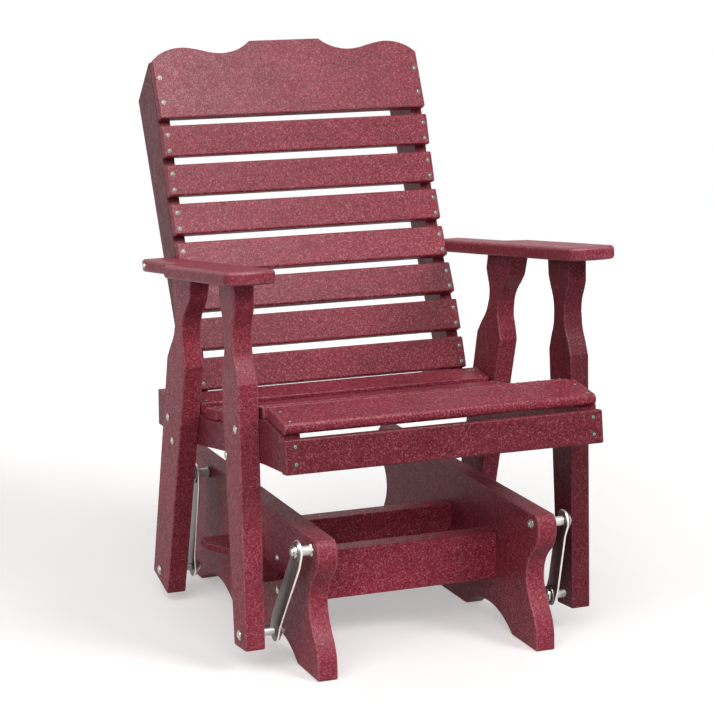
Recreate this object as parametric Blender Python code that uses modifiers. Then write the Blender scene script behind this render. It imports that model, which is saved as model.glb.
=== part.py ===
"""Glider armchair in recycled plastic lumber, with its seat hung on four swing links.

The chair faces -Y and stands on Z = 0. Left and right are the sitter's, so left is +X.
Lengths are metres. Y values are counted back from the apron's front face, and every object
hangs on the "datum" empty, which moves the whole chair so that the origin is mid footprint.
"""
import math

import bmesh
import bpy
from mathutils import Matrix, Vector

# Fits and cutters
FIT_GAP = 0.0003
RUNNING_GAP = 0.0004
CUT_OVERRUN = 0.012
MERGE_DISTANCE = 0.00002

# Boards
EASED_EDGE = 0.004
EDGE_SEGMENTS = 2
FRAME_BOARD = 0.038
BACK_BOARD = 0.022
SEAT_BOARD = 0.022
ARM_BOARD = 0.025

# Stand
PANEL_LENGTH = 0.7635
PANEL_HEIGHT = 0.257
PANEL_FRONT_Y = 0.0395
ARCH_RISE = 0.0345
ARCH_STEPS = 8
# Front edge of a side panel from top to toe, as shares of its length and its height.
PANEL_EDGE_SHARES = (
    (0.018, 1.0), (0.003, 0.955), (0.0005, 0.86), (0.014, 0.765), (0.046, 0.665), (0.061, 0.56),
    (0.059, 0.45), (0.040, 0.335), (0.017, 0.245), (0.003, 0.14), (0.0, 0.0),
)
PANEL_EDGE_STEPS = 2
ARCH_START_SHARE = 0.138
ARCH_END_SHARE = 0.4103
CROSS_RAIL_HEIGHT = 0.092
CROSS_RAIL_DEPTH = 0.042
CROSS_RAIL_BOTTOM_Z = 0.090
FRONT_RAIL_Y = 0.2155
REAR_RAIL_Y = 0.4215

# Guide plates on the outside of the side panels
GUIDE_LENGTH = 0.272
GUIDE_CLEARANCE = 0.0035
GUIDE_WAIST = 0.042
GUIDE_EAR = 0.043
GUIDE_TAPER = 0.045
GUIDE_BOARD = 0.014
GUIDE_TOP_Z = 0.151

# Swing linkage
PIVOT_Z = 0.2365
FRONT_PIVOT_Y = 0.068
STAND_PIVOT_SPAN = 0.572
SEAT_PIVOT_SPAN = 0.4757
LINK_LENGTH = 0.184
FRONT_LINK_ANGLE = math.radians(24.6)
STRAP_WIDTH = 0.041
STRAP_SHEET = 0.004
STRAP_FLAT = 0.024
STRAP_JOGGLE = 0.016
STRAP_HOLE_RADIUS = 0.0075
STRAP_STEPS = 10
UPPER_SPACER_LENGTH = 0.0242
UPPER_SPACER_RADIUS = 0.009
STAR_RADIUS = 0.0125
STAR_THICKNESS = 0.0045
STAR_ROOT_SHARE = 0.66
STAR_POINTS = 5
LOWER_SPACER_LENGTH = 0.0264
LOWER_SPACER_RADIUS = 0.0075
BEARING_RADIUS = 0.0185
BEARING_HUB_RADIUS = 0.0120
BEARING_FLANGE = 0.003
BEARING_DEPTH = 0.008
OPEN_PIVOT_PLAY = 0.0052

# Fasteners
BOLT_RADIUS = 0.004
BOLT_HEAD_RADIUS = 0.0095
BOLT_HEAD_HEIGHT = 0.0045
DOME_SHOULDER_SHARE = 0.62
DOME_RISE_SHARE = 0.82
DOME_RIM_SHARE = 0.3
BOLT_SIDES = 16
NUT_RADIUS = 0.0075
NUT_HEIGHT = 0.005
NUT_SIDES = 6

# Seat frame
SEAT_HALF_WIDTH = 0.305
SEAT_SLAT_INSET = 0.0055
SEAT_FRONT_Y = 0.0228
SEAT_FRONT_Z = 0.4585
SEAT_SLAT_WIDTHS = (0.089, 0.0635, 0.0635, 0.0635, 0.0635, 0.0635)
SEAT_SLAT_TILTS = tuple(math.radians(tilt) for tilt in (7.2, -13.5, -14.5, -14.0, -8.5, 7.0))
SEAT_NOSE_GAP = 0.017
SEAT_SLAT_GAP = 0.0265
RAIL_TAIL_Y = 0.735
RAIL_TAIL_TOP_Z = 0.391
# Lower edge of a side rail from front to tail, as shares of its length and its front height.
RAIL_FRONT_BOTTOM_Z = 0.3950
RAIL_TAIL_BOTTOM_Z = 0.3196
RAIL_EDGE_SHARES = ((0.0, 1.0), (0.17, 0.85), (0.44, 0.52), (0.69, 0.15), (0.84, 0.035), (1.0, 0.0))
RAIL_EDGE_STEPS = 2
APRON_HEIGHT = 0.061
APRON_BOARD = 0.0245
APRON_TILT = math.radians(8.0)

# Back
BACK_SIDE_INSET = 0.0235
BACK_FOOT_GAP = 0.004
BACK_FOOT_RISE = 0.001
BACK_SLAT_WIDTH = 0.0622
BACK_SLAT_GAP = 0.0156
# Lean of the seven slats from the seat up, then of the crest board.
BACK_LEANS = tuple(math.radians(lean) for lean in (20.5, 23.5, 28.5, 27.5, 23.5, 20.0, 18.0, 25.5))
CREST_HEIGHT = 0.1545
CREST_STEPS = 3
# Upper edge of the crest board from its middle to its end: shares of half width and height.
CREST_FLAT_SHARES = ((0.0, 1.0), (0.262, 1.0))
CREST_SWEEP_SHARES = (
    (0.262, 1.0), (0.31, 0.935), (0.38, 0.876), (0.472, 0.846), (0.565, 0.862), (0.66, 0.908),
    (0.765, 0.938), (0.86, 0.918), (0.94, 0.858), (1.0, 0.772),
)
UPRIGHT_BOARD = 0.0248
UPRIGHT_HEAD_DEPTH = 0.1065
UPRIGHT_TIP = 0.006
UPRIGHT_TOP_SHARE = 0.80
UPRIGHT_NOTCH_SHARE = 0.53
UPRIGHT_FOOT_DROP = 0.075
UPRIGHT_REAR_LEAN = math.radians(27.1)

# Posts
FRONT_POST_FOOT = 0.062
FRONT_POST_SHOULDER = 0.090
FRONT_POST_HEAD = 0.086
FRONT_POST_HEAD_Y = 0.198
REAR_POST_FOOT = 0.092
REAR_POST_SHOULDER = 0.108
REAR_POST_HEAD = 0.104
REAR_POST_HEAD_Y = 0.450
POST_NECK = 0.042
POST_FOOT_DROP = 0.025
POST_STEPS = 3
# Heights along a post, as shares of its length: shoulder, neck and the lip of the head.
POST_SHOULDER_SHARE = 0.735
POST_NECK_SHARE = 0.856
POST_LIP_SHARE = 0.945
# Half width at points of the waisted stretch, between neck (0) and shoulder or head (1).
WAIST_LOWER_SHARES = ((0.0, 1.0), (0.30, 0.62), (0.62, 0.16), (1.0, 0.0))
WAIST_UPPER_SHARES = ((0.0, 0.0), (0.35, 0.16), (0.75, 0.66), (1.0, 0.94))

# Arms
ARM_BODY_WIDTH = 0.0945
ARM_FRONT_Y = 0.090
ARM_FRONT_Z = 0.7124
ARM_TILT = math.radians(7.2)
ARM_LENGTH = 0.625
ARM_BODY_LENGTH = 0.368
ARM_TAIL_WIDTH = 0.060
ARM_BOW = 0.011
ARM_CORNER = 0.007
ARM_STEPS = 6

# Colours
LUMBER_COLOUR = (0.230, 0.022, 0.045, 1.0)
ZINC_COLOUR = (0.62, 0.62, 0.60, 1.0)
STEEL_COLOUR = (0.34, 0.33, 0.31, 1.0)

SIDES = (("left", 1), ("right", -1))

# Places worked out from the driving dimensions
POST_INNER_X = SEAT_HALF_WIDTH + FIT_GAP
POST_OUTER_X = POST_INNER_X + FRAME_BOARD
# The stand is as wide as the straps and their spacers leave room for between the posts.
STRAP_FOOT_X = POST_INNER_X - LOWER_SPACER_LENGTH - STRAP_SHEET - 2 * FIT_GAP
STRAP_TOP_X = STRAP_FOOT_X - STRAP_JOGGLE
STAND_HALF_WIDTH = STRAP_TOP_X - UPPER_SPACER_LENGTH - 2 * FIT_GAP
GUIDE_REACH = POST_INNER_X - GUIDE_CLEARANCE - STAND_HALF_WIDTH - FIT_GAP
PANEL_INNER_X = STAND_HALF_WIDTH - FRAME_BOARD
PANEL_MID_Y = PANEL_FRONT_Y + PANEL_LENGTH / 2
REAR_PIVOT_Y = FRONT_PIVOT_Y + STAND_PIVOT_SPAN
RAIL_FRONT_Y = (APRON_BOARD + FIT_GAP) / math.cos(APRON_TILT)
RAIL_LENGTH = RAIL_TAIL_Y - RAIL_FRONT_Y
RAIL_INNER_X = SEAT_HALF_WIDTH - FRAME_BOARD
BACK_HALF_WIDTH = SEAT_HALF_WIDTH - BACK_SIDE_INSET
UPRIGHT_OUTER_X = BACK_HALF_WIDTH
ARM_INNER_X = BACK_HALF_WIDTH + FIT_GAP
ARM_HALF_REACH = ARM_INNER_X + ARM_BODY_WIDTH


def heading(angle):
    """Unit step along a board in the side view, rising by angle towards the back."""
    return Vector((math.cos(angle), math.sin(angle)))


def square_to(direction):
    """The side-view direction a quarter turn anticlockwise from a heading."""
    return Vector((-direction.y, direction.x))


def smooth_line(points, steps):
    """Catmull-Rom curve through the points, with a number of steps in each stretch."""
    points = [Vector(point) for point in points]
    padded = [2 * points[0] - points[1]] + points + [2 * points[-1] - points[-2]]
    line = []
    for before, start, end, after in zip(padded, padded[1:], padded[2:], padded[3:]):
        for step in range(steps):
            t = step / steps
            line.append(0.5 * (2 * start + (end - before) * t
                               + (2 * before - 5 * start + 4 * end - after) * t * t
                               + (3 * start - before - 3 * end + after) * t ** 3))
    line.append(points[-1])
    return line


def arc_line(start, end, rise, steps):
    """Circular arc from start to end that rises to the left of the way it runs."""
    start, end = Vector(start), Vector(end)
    chord = end - start
    half = chord.length / 2
    along = chord.normalized()
    across = square_to(along)
    radius = (half * half + rise * rise) / (2 * rise)
    centre = (start + end) / 2 + across * (rise - radius)
    sweep = math.asin(min(1.0, half / radius))
    line = []
    for step in range(steps + 1):
        angle = sweep * (2 * step / steps - 1)
        line.append(centre + along * radius * math.sin(angle) + across * radius * math.cos(angle))
    return line


def clear_scene():
    """Remove every object, so that the file can be run again."""
    for item in list(bpy.data.objects):
        bpy.data.objects.remove(item, do_unlink=True)


def new_material(name, colour, roughness, metallic):
    """Principled material with one colour."""
    material = bpy.data.materials.new(name)
    material.use_nodes = True
    shader = material.node_tree.nodes["Principled BSDF"]
    shader.inputs["Base Color"].default_value = colour
    shader.inputs["Roughness"].default_value = roughness
    shader.inputs["Metallic"].default_value = metallic
    material.diffuse_color = colour
    return material


def new_collection(name):
    """Collection linked to the scene."""
    group = bpy.data.collections.new(name)
    bpy.context.scene.collection.children.link(group)
    return group


clear_scene()
CHAIR = new_collection("glider_chair")
CUTTERS = new_collection("cutters")
LUMBER = new_material("lumber", LUMBER_COLOUR, 0.45, 0.0)
ZINC = new_material("zinc", ZINC_COLOUR, 0.3, 1.0)
STEEL = new_material("dark_steel", STEEL_COLOUR, 0.4, 1.0)

# Rotation that lays an outline drawn in (Y, Z) into the side view, with its thickness along X.
SIDE_VIEW = Matrix(((0, 0, 1), (1, 0, 0), (0, 1, 0))).to_4x4()


def make_solid(name, mesh, place, group=CHAIR):
    """Object from a mesh, placed by a matrix."""
    item = bpy.data.objects.new(name, mesh)
    item.matrix_world = place
    group.objects.link(item)
    return item


def outline_mesh(name, outline, thickness):
    """Mesh of a flat board with the given outline, its thickness centred on local Z."""
    curve = bpy.data.curves.new(name, "CURVE")
    curve.dimensions = "2D"
    curve.fill_mode = "BOTH"
    curve.extrude = thickness / 2
    spline = curve.splines.new("POLY")
    spline.points.add(len(outline) - 1)
    for point, (x, y) in zip(spline.points, outline):
        point.co = (x, y, 0.0, 1.0)
    spline.use_cyclic_u = True
    holder = bpy.data.objects.new(name + "_outline", curve)
    CUTTERS.objects.link(holder)
    bpy.context.view_layer.update()
    evaluated = holder.evaluated_get(bpy.context.evaluated_depsgraph_get())
    mesh = bpy.data.meshes.new_from_object(evaluated)
    mesh.name = name
    bpy.data.objects.remove(holder, do_unlink=True)
    shape = bmesh.new()
    shape.from_mesh(mesh)
    bmesh.ops.remove_doubles(shape, verts=shape.verts, dist=MERGE_DISTANCE)
    bmesh.ops.recalc_face_normals(shape, faces=shape.faces)
    shape.to_mesh(mesh)
    shape.free()
    return mesh


def ease_edges(item, width=EASED_EDGE, segments=EDGE_SEGMENTS):
    """Round the long edges of a board."""
    bevel = item.modifiers.new("eased_edges", "BEVEL")
    bevel.width = width
    bevel.segments = segments
    bevel.limit_method = "ANGLE"
    bevel.angle_limit = math.radians(40)
    bevel.use_clamp_overlap = True
    return item


def finish(item, material, carrier=None):
    """Give a solid its material, smooth its round faces and hang it on what carries it."""
    item.data.materials.clear()
    item.data.materials.append(material)
    item.data.shade_smooth()
    item.data.set_sharp_from_angle(angle=math.radians(35))
    item.parent = carrier or DATUM
    if carrier:
        item.matrix_basis = Matrix.Translation(-carrier.location) @ item.matrix_basis
    return item


def bake_modifiers(item):
    """Replace an object's mesh by what its modifiers make of it."""
    bpy.context.view_layer.update()
    evaluated = item.evaluated_get(bpy.context.evaluated_depsgraph_get())
    mesh = bpy.data.meshes.new_from_object(evaluated)
    item.modifiers.clear()
    item.data = mesh
    return item


def cut_with(item, cutters, operation="DIFFERENCE"):
    """Apply booleans, then drop their cutters."""
    for cutter in cutters:
        boolean = item.modifiers.new("cut", "BOOLEAN")
        boolean.operation = operation
        boolean.solver = "EXACT"
        boolean.object = cutter
    bake_modifiers(item)
    for cutter in cutters:
        bpy.data.objects.remove(cutter, do_unlink=True)
    return item


def cylinder_mesh(name, radius, length, sides):
    """Cylinder along local Z, centred."""
    mesh = bpy.data.meshes.new(name)
    shape = bmesh.new()
    bmesh.ops.create_cone(shape, cap_ends=True, segments=sides, radius1=radius, radius2=radius,
                          depth=length)
    shape.to_mesh(mesh)
    shape.free()
    return mesh


def turned_mesh(name, profile, sides):
    """Solid turned about local Z from (radius, height) points, top to bottom on the outside."""
    mesh = bpy.data.meshes.new(name + "_profile")
    shape = bmesh.new()
    corners = [shape.verts.new((radius, 0.0, height)) for radius, height in profile]
    for start, end in zip(corners, corners[1:]):
        shape.edges.new((start, end))
    closed = profile[0][0] > 0.0
    if closed:
        shape.edges.new((corners[-1], corners[0]))
    shape.to_mesh(mesh)
    shape.free()
    holder = make_solid(name + "_turned", mesh, Matrix.Identity(4), CUTTERS)
    screw = holder.modifiers.new("turn", "SCREW")
    screw.axis = "Z"
    screw.steps = sides
    screw.render_steps = sides
    screw.use_merge_vertices = True
    screw.merge_threshold = MERGE_DISTANCE
    screw.use_normal_calculate = True
    bake_modifiers(holder)
    turned = holder.data
    bpy.data.objects.remove(holder, do_unlink=True)
    shape = bmesh.new()
    shape.from_mesh(turned)
    bmesh.ops.remove_doubles(shape, verts=shape.verts, dist=MERGE_DISTANCE)
    bmesh.ops.recalc_face_normals(shape, faces=shape.faces)
    shape.to_mesh(turned)
    shape.free()
    turned.name = name
    return turned


def along_x(x, y, z, towards=1):
    """Place for a turned solid whose local Z points along X."""
    return Matrix.Translation((x, y, z)) @ Matrix.Rotation(towards * math.pi / 2, 4, "Y")


def hole_along_x(x, y, z, radius, length, sides=BOLT_SIDES):
    """Cutter for a round hole along X."""
    cutter = make_solid("hole", cylinder_mesh("hole", radius, length, sides), along_x(x, y, z), CUTTERS)
    cutter.hide_render = True
    cutter.display_type = "WIRE"
    return cutter


def side_board(name, outline, thickness, outer_x, side):
    """Board that stands in the side view, with its outer face at outer_x."""
    middle = side * (outer_x - thickness / 2)
    place = Matrix.Translation((middle, 0.0, 0.0)) @ SIDE_VIEW
    return make_solid(name, outline_mesh(name, outline, thickness), place)


def box_mesh(name, size):
    """Box centred on the origin."""
    mesh = bpy.data.meshes.new(name)
    shape = bmesh.new()
    bmesh.ops.create_cube(shape, size=1.0)
    bmesh.ops.scale(shape, vec=size, verts=shape.verts)
    shape.to_mesh(mesh)
    shape.free()
    return mesh


def linkage_at_rest():
    """Lower pivots (y, z) of the front and rear links, with the four bars closed."""
    front_top = Vector((FRONT_PIVOT_Y, PIVOT_Z))
    rear_top = Vector((REAR_PIVOT_Y, PIVOT_Z))
    front_foot = front_top + LINK_LENGTH * Vector((math.sin(FRONT_LINK_ANGLE), -math.cos(FRONT_LINK_ANGLE)))
    reach = rear_top - front_foot
    distance = reach.length
    along = (SEAT_PIVOT_SPAN ** 2 - LINK_LENGTH ** 2 + distance ** 2) / (2 * distance)
    off = math.sqrt(max(0.0, SEAT_PIVOT_SPAN ** 2 - along ** 2))
    unit = reach.normalized()
    rear_foot = front_foot + unit * along - square_to(unit) * off
    return front_foot, rear_foot


FRONT_FOOT, REAR_FOOT = linkage_at_rest()
REAR_LINK_ANGLE = math.asin((REAR_FOOT.x - REAR_PIVOT_Y) / LINK_LENGTH)
LINKS = (
    ("front", FRONT_PIVOT_Y, FRONT_FOOT, FRONT_LINK_ANGLE, RUNNING_GAP),
    ("rear", REAR_PIVOT_Y, REAR_FOOT, REAR_LINK_ANGLE, OPEN_PIVOT_PLAY),
)


def seat_places():
    """Underside (y, z) of each seat slat at its front edge, and its heading."""
    places = []
    corner = Vector((SEAT_FRONT_Y, SEAT_FRONT_Z))
    for index, (width, tilt) in enumerate(zip(SEAT_SLAT_WIDTHS, SEAT_SLAT_TILTS)):
        direction = heading(tilt)
        places.append((corner.copy(), direction))
        if index + 1 < len(SEAT_SLAT_TILTS):
            gap = SEAT_SLAT_GAP if index else SEAT_NOSE_GAP
            corner = corner + direction * width + heading(SEAT_SLAT_TILTS[index + 1]) * gap
    return places


SEAT_PLACES = seat_places()
SEAT_REAR = SEAT_PLACES[-1][0] + SEAT_PLACES[-1][1] * SEAT_SLAT_WIDTHS[-1]
SEAT_REAR_TOP = SEAT_REAR + square_to(SEAT_PLACES[-1][1]) * SEAT_BOARD


def back_places():
    """Front face (y, z) of each back board at its lower edge, and the way up it."""
    places = []
    corner = SEAT_REAR_TOP + Vector((BACK_FOOT_GAP, BACK_FOOT_RISE))
    for index, lean in enumerate(BACK_LEANS):
        up = Vector((math.sin(lean), math.cos(lean)))
        places.append((corner.copy(), up))
        if index + 1 < len(BACK_LEANS):
            mean = (lean + BACK_LEANS[index + 1]) / 2
            corner = (corner + up * BACK_SLAT_WIDTH
                      + Vector((math.sin(mean), math.cos(mean))) * BACK_SLAT_GAP)
    return places


BACK_PLACES = back_places()
CREST_FOOT, CREST_UP = BACK_PLACES[-1]
UPRIGHT_TOP = CREST_FOOT + CREST_UP * CREST_HEIGHT * UPRIGHT_TOP_SHARE
UPRIGHT_REAR_CORNER = (CREST_FOOT + CREST_UP * CREST_HEIGHT * UPRIGHT_NOTCH_SHARE
                       - square_to(CREST_UP) * (BACK_BOARD + UPRIGHT_HEAD_DEPTH))
DEPTH = UPRIGHT_REAR_CORNER.x


def new_empty(name, location, parent=None):
    """Empty that carries other objects."""
    empty = bpy.data.objects.new(name, None)
    empty.location = location
    empty.parent = parent
    CHAIR.objects.link(empty)
    return empty


DATUM = new_empty("datum", (0.0, -DEPTH / 2, 0.0))
# The seat swings on its front lower pivots, and each link on its upper pivot.
SEAT_CARRIER = new_empty("seat_pivot", (0.0, FRONT_FOOT.x, FRONT_FOOT.y), DATUM)
LINK_CARRIERS = {
    (end, word): new_empty(word + "_" + end + "_link_pivot", (side * STRAP_TOP_X, pivot_y, PIVOT_Z), DATUM)
    for end, pivot_y, foot, angle, play in LINKS for word, side in SIDES
}


def panel_outline():
    """Side panel with waisted ends, three feet and two arches."""
    def at(share_y, share_z):
        return Vector((PANEL_FRONT_Y + share_y * PANEL_LENGTH, share_z * PANEL_HEIGHT))

    front = smooth_line([at(*share) for share in PANEL_EDGE_SHARES], PANEL_EDGE_STEPS)
    arch = arc_line(at(ARCH_START_SHARE, 0.0), at(ARCH_END_SHARE, 0.0), ARCH_RISE, ARCH_STEPS)
    half = front + arch
    mirrored = [Vector((2 * PANEL_MID_Y - point.x, point.y)) for point in reversed(half)]
    return half + mirrored


def make_side_panels():
    """Two side panels, drilled for the pivots."""
    for word, side in SIDES:
        panel = side_board(word + "_side_panel", panel_outline(), FRAME_BOARD, STAND_HALF_WIDTH, side)
        middle = side * (STAND_HALF_WIDTH - FRAME_BOARD / 2)
        length = FRAME_BOARD + 2 * CUT_OVERRUN
        ease_edges(panel)
        bake_modifiers(panel)
        holes = [hole_along_x(middle, y, PIVOT_Z, BOLT_RADIUS + FIT_GAP, length)
                 for y in (FRONT_PIVOT_Y, REAR_PIVOT_Y)]
        cut_with(panel, holes)
        finish(panel, LUMBER)


def make_cross_rails():
    """Two rails between the side panels."""
    length = 2 * (PANEL_INNER_X - FIT_GAP)
    for name, front_y in (("front_cross_rail", FRONT_RAIL_Y), ("rear_cross_rail", REAR_RAIL_Y)):
        centre = (0.0, front_y + CROSS_RAIL_DEPTH / 2, CROSS_RAIL_BOTTOM_Z + CROSS_RAIL_HEIGHT / 2)
        rail = make_solid(name, box_mesh(name, (length, CROSS_RAIL_DEPTH, CROSS_RAIL_HEIGHT)),
                          Matrix.Translation(centre))
        ease_edges(rail)
        finish(bake_modifiers(rail), LUMBER)


def bolt_mesh(name, reach):
    """Dome-headed bolt with its nut: the head's seat is at local Z = 0, the nut's seat at -reach."""
    dome = [(0.0, BOLT_HEAD_HEIGHT), (BOLT_HEAD_RADIUS * DOME_SHOULDER_SHARE, BOLT_HEAD_HEIGHT * DOME_RISE_SHARE),
            (BOLT_HEAD_RADIUS, BOLT_HEAD_HEIGHT * DOME_RIM_SHARE), (BOLT_HEAD_RADIUS, 0.0)]
    tip = reach + NUT_HEIGHT + BOLT_RADIUS / 2
    shank = [(BOLT_RADIUS, 0.0), (BOLT_RADIUS, -tip), (0.0, -tip)]
    bolt = make_solid(name, turned_mesh(name, dome + shank, BOLT_SIDES), Matrix.Identity(4), CUTTERS)
    nut = make_solid("nut", cylinder_mesh("nut", NUT_RADIUS, NUT_HEIGHT, NUT_SIDES),
                     Matrix.Translation((0.0, 0.0, -reach - NUT_HEIGHT / 2)), CUTTERS)
    mesh = cut_with(bolt, [nut], "UNION").data
    bpy.data.objects.remove(bolt, do_unlink=True)
    return mesh


def make_guide_plates():
    """Bow-tie plates outside the side panels that keep the posts from swaying sideways."""
    middle_y = (FRONT_PIVOT_Y + REAR_PIVOT_Y) / 2
    half = GUIDE_LENGTH / 2
    inner = STAND_HALF_WIDTH + FIT_GAP
    outline_half = [
        (inner, half), (inner + GUIDE_REACH, half), (inner + GUIDE_REACH, half - GUIDE_EAR),
        (inner + GUIDE_WAIST, half - GUIDE_EAR - GUIDE_TAPER),
    ]
    for word, side in SIDES:
        outline = [(side * x, middle_y + y) for x, y in outline_half]
        outline += [(side * x, middle_y - y) for x, y in reversed(outline_half)]
        name = word + "_guide_plate"
        place = Matrix.Translation((0.0, 0.0, GUIDE_TOP_Z - GUIDE_BOARD / 2))
        plate = make_solid(name, outline_mesh(name, outline, GUIDE_BOARD), place)
        ease_edges(plate, EASED_EDGE / 2)
        finish(bake_modifiers(plate), LUMBER)


def strap_mesh(foot_hole):
    """Joggled strap. Local Z runs from the upper pivot (0) down to the lower one, X is outward."""
    sheet = STRAP_SHEET
    top = STRAP_WIDTH / 2
    low = -LINK_LENGTH - STRAP_WIDTH / 2
    bend_top = -STRAP_FLAT
    bend_low = STRAP_FLAT - LINK_LENGTH
    outer = [(sheet, top), (sheet, bend_top), (STRAP_JOGGLE + sheet, bend_low), (STRAP_JOGGLE + sheet, low)]
    inner = [(STRAP_JOGGLE, low), (STRAP_JOGGLE, bend_low), (0.0, bend_top), (0.0, top)]
    bar = make_solid("strap_bar", outline_mesh("strap_bar", outer + inner, STRAP_WIDTH),
                     Matrix.Rotation(math.pi / 2, 4, "X"), CUTTERS)
    ends = [Vector((math.sin(math.pi * step / STRAP_STEPS - math.pi / 2) * top,
                    math.cos(math.pi * step / STRAP_STEPS - math.pi / 2) * top))
            for step in range(STRAP_STEPS + 1)]
    stadium = ends + [Vector((-point.x, -LINK_LENGTH - point.y)) for point in ends]
    depth = 2 * (STRAP_JOGGLE + sheet + CUT_OVERRUN)
    blank = make_solid("strap_blank", outline_mesh("strap_blank", stadium, depth), SIDE_VIEW, CUTTERS)
    cut_with(bar, [blank], "INTERSECT")
    holes = [hole_along_x(0.0, 0.0, 0.0, STRAP_HOLE_RADIUS, depth),
             hole_along_x(0.0, 0.0, -LINK_LENGTH, foot_hole, depth)]
    cut_with(bar, holes)
    mesh = bar.data
    mesh.transform(Matrix.Rotation(math.pi / 2, 4, "X"))
    bpy.data.objects.remove(bar, do_unlink=True)
    return mesh


def bearing_mesh(name, bore):
    """Flanged bearing ring: its flange lies on local Z = 0 and its hub rises from it."""
    hub = max(BEARING_HUB_RADIUS, bore + BEARING_FLANGE)
    profile = [
        (hub, BEARING_DEPTH), (hub, BEARING_FLANGE), (BEARING_RADIUS, BEARING_FLANGE),
        (BEARING_RADIUS, 0.0), (bore, 0.0), (bore, BEARING_DEPTH),
    ]
    return turned_mesh(name, profile, BOLT_SIDES)


def make_links():
    """Four swing links, each a strap with a bearing at either end."""
    for end, pivot_y, foot, angle, play in LINKS:
        foot_bore = BOLT_RADIUS + play
        strap = strap_mesh(max(STRAP_HOLE_RADIUS, foot_bore))
        upper = bearing_mesh("upper_bearing", BOLT_RADIUS + RUNNING_GAP)
        lower = bearing_mesh("lower_bearing", foot_bore)
        swing = Matrix.Rotation(angle, 4, "X")
        for word, side in SIDES:
            name = word + "_" + end + "_link"
            hand = Matrix.Scale(side, 4, (1, 0, 0))
            copy = strap.copy()
            copy.transform(hand)
            if side < 0:
                copy.flip_normals()
            place = Matrix.Translation((side * STRAP_TOP_X, pivot_y, PIVOT_Z)) @ swing
            carrier = LINK_CARRIERS[end, word]
            finish(make_solid(name + "_strap", copy, place), STEEL, carrier)
            seat_x = STRAP_TOP_X + STRAP_SHEET + FIT_GAP
            place = along_x(side * seat_x, pivot_y, PIVOT_Z, side)
            finish(make_solid(name + "_upper_bearing", upper, place), ZINC, carrier)
            seat_x = STRAP_FOOT_X - FIT_GAP
            place = along_x(side * seat_x, foot.x, foot.y, -side)
            finish(make_solid(name + "_lower_bearing", lower, place), ZINC, carrier)


def star_outline():
    """Star with a point at the top."""
    points = []
    for index in range(2 * STAR_POINTS):
        radius = STAR_RADIUS * (STAR_ROOT_SHARE if index % 2 else 1)
        angle = math.pi * index / STAR_POINTS
        points.append((-radius * math.cos(angle), radius * math.sin(angle)))
    return points


def ring_mesh(name, outer, inner, length, sides=BOLT_SIDES):
    """Plain tube along local Z, centred."""
    profile = [(outer, length / 2), (outer, -length / 2), (inner, -length / 2), (inner, length / 2)]
    return turned_mesh(name, profile, sides)


def make_upper_pivots():
    """Bolt and star-flanged sleeve at each pivot on the stand."""
    head_x = STRAP_TOP_X + STRAP_SHEET + BEARING_DEPTH + 2 * FIT_GAP
    bolt = bolt_mesh("upper_pivot_bolt", head_x - PANEL_INNER_X + FIT_GAP)
    star = make_solid("star", outline_mesh("star", star_outline(), STAR_THICKNESS),
                      Matrix.Translation((0.0, 0.0, (STAR_THICKNESS - UPPER_SPACER_LENGTH) / 2)), CUTTERS)
    sleeve = make_solid("sleeve", cylinder_mesh("sleeve", UPPER_SPACER_RADIUS, UPPER_SPACER_LENGTH, BOLT_SIDES),
                        Matrix.Identity(4), CUTTERS)
    bore = make_solid("bore", cylinder_mesh("bore", BOLT_RADIUS + FIT_GAP, UPPER_SPACER_LENGTH + CUT_OVERRUN,
                                            BOLT_SIDES), Matrix.Identity(4), CUTTERS)
    cut_with(sleeve, [star], "UNION")
    spacer = cut_with(sleeve, [bore]).data
    bpy.data.objects.remove(sleeve, do_unlink=True)
    spacer_x = STAND_HALF_WIDTH + FIT_GAP + UPPER_SPACER_LENGTH / 2
    for end, pivot_y, foot, angle, play in LINKS:
        for word, side in SIDES:
            name = word + "_" + end + "_upper_pivot"
            finish(make_solid(name + "_bolt", bolt, along_x(side * head_x, pivot_y, PIVOT_Z, side)), ZINC)
            # The half turn keeps the right-hand star's point at the top, as on the left.
            turn = Matrix.Rotation((1 - side) * math.pi / 2, 4, "Z")
            place = along_x(side * spacer_x, pivot_y, PIVOT_Z, side) @ turn
            finish(make_solid(name + "_spacer", spacer, place), ZINC)


def make_lower_pivots():
    """Bolt and plain spacer at each pivot on the posts."""
    strap_face = STRAP_FOOT_X + STRAP_SHEET
    head_x = POST_OUTER_X + FIT_GAP
    bolt = bolt_mesh("lower_pivot_bolt", head_x - STRAP_FOOT_X + BEARING_DEPTH + 2 * FIT_GAP)
    spacer = ring_mesh("lower_spacer", LOWER_SPACER_RADIUS, BOLT_RADIUS + FIT_GAP,
                       LOWER_SPACER_LENGTH)
    spacer_x = strap_face + FIT_GAP + LOWER_SPACER_LENGTH / 2
    for end, pivot_y, foot, angle, play in LINKS:
        for word, side in SIDES:
            name = word + "_" + end + "_lower_pivot"
            place = along_x(side * head_x, foot.x, foot.y, side)
            finish(make_solid(name + "_bolt", bolt, place), ZINC, SEAT_CARRIER)
            place = along_x(side * spacer_x, foot.x, foot.y, side)
            finish(make_solid(name + "_spacer", spacer, place), ZINC, SEAT_CARRIER)


def arm_underside(y):
    """Height of the arms' lower face at a distance back."""
    return ARM_FRONT_Z - (y - ARM_FRONT_Y) * math.tan(ARM_TILT)


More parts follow.
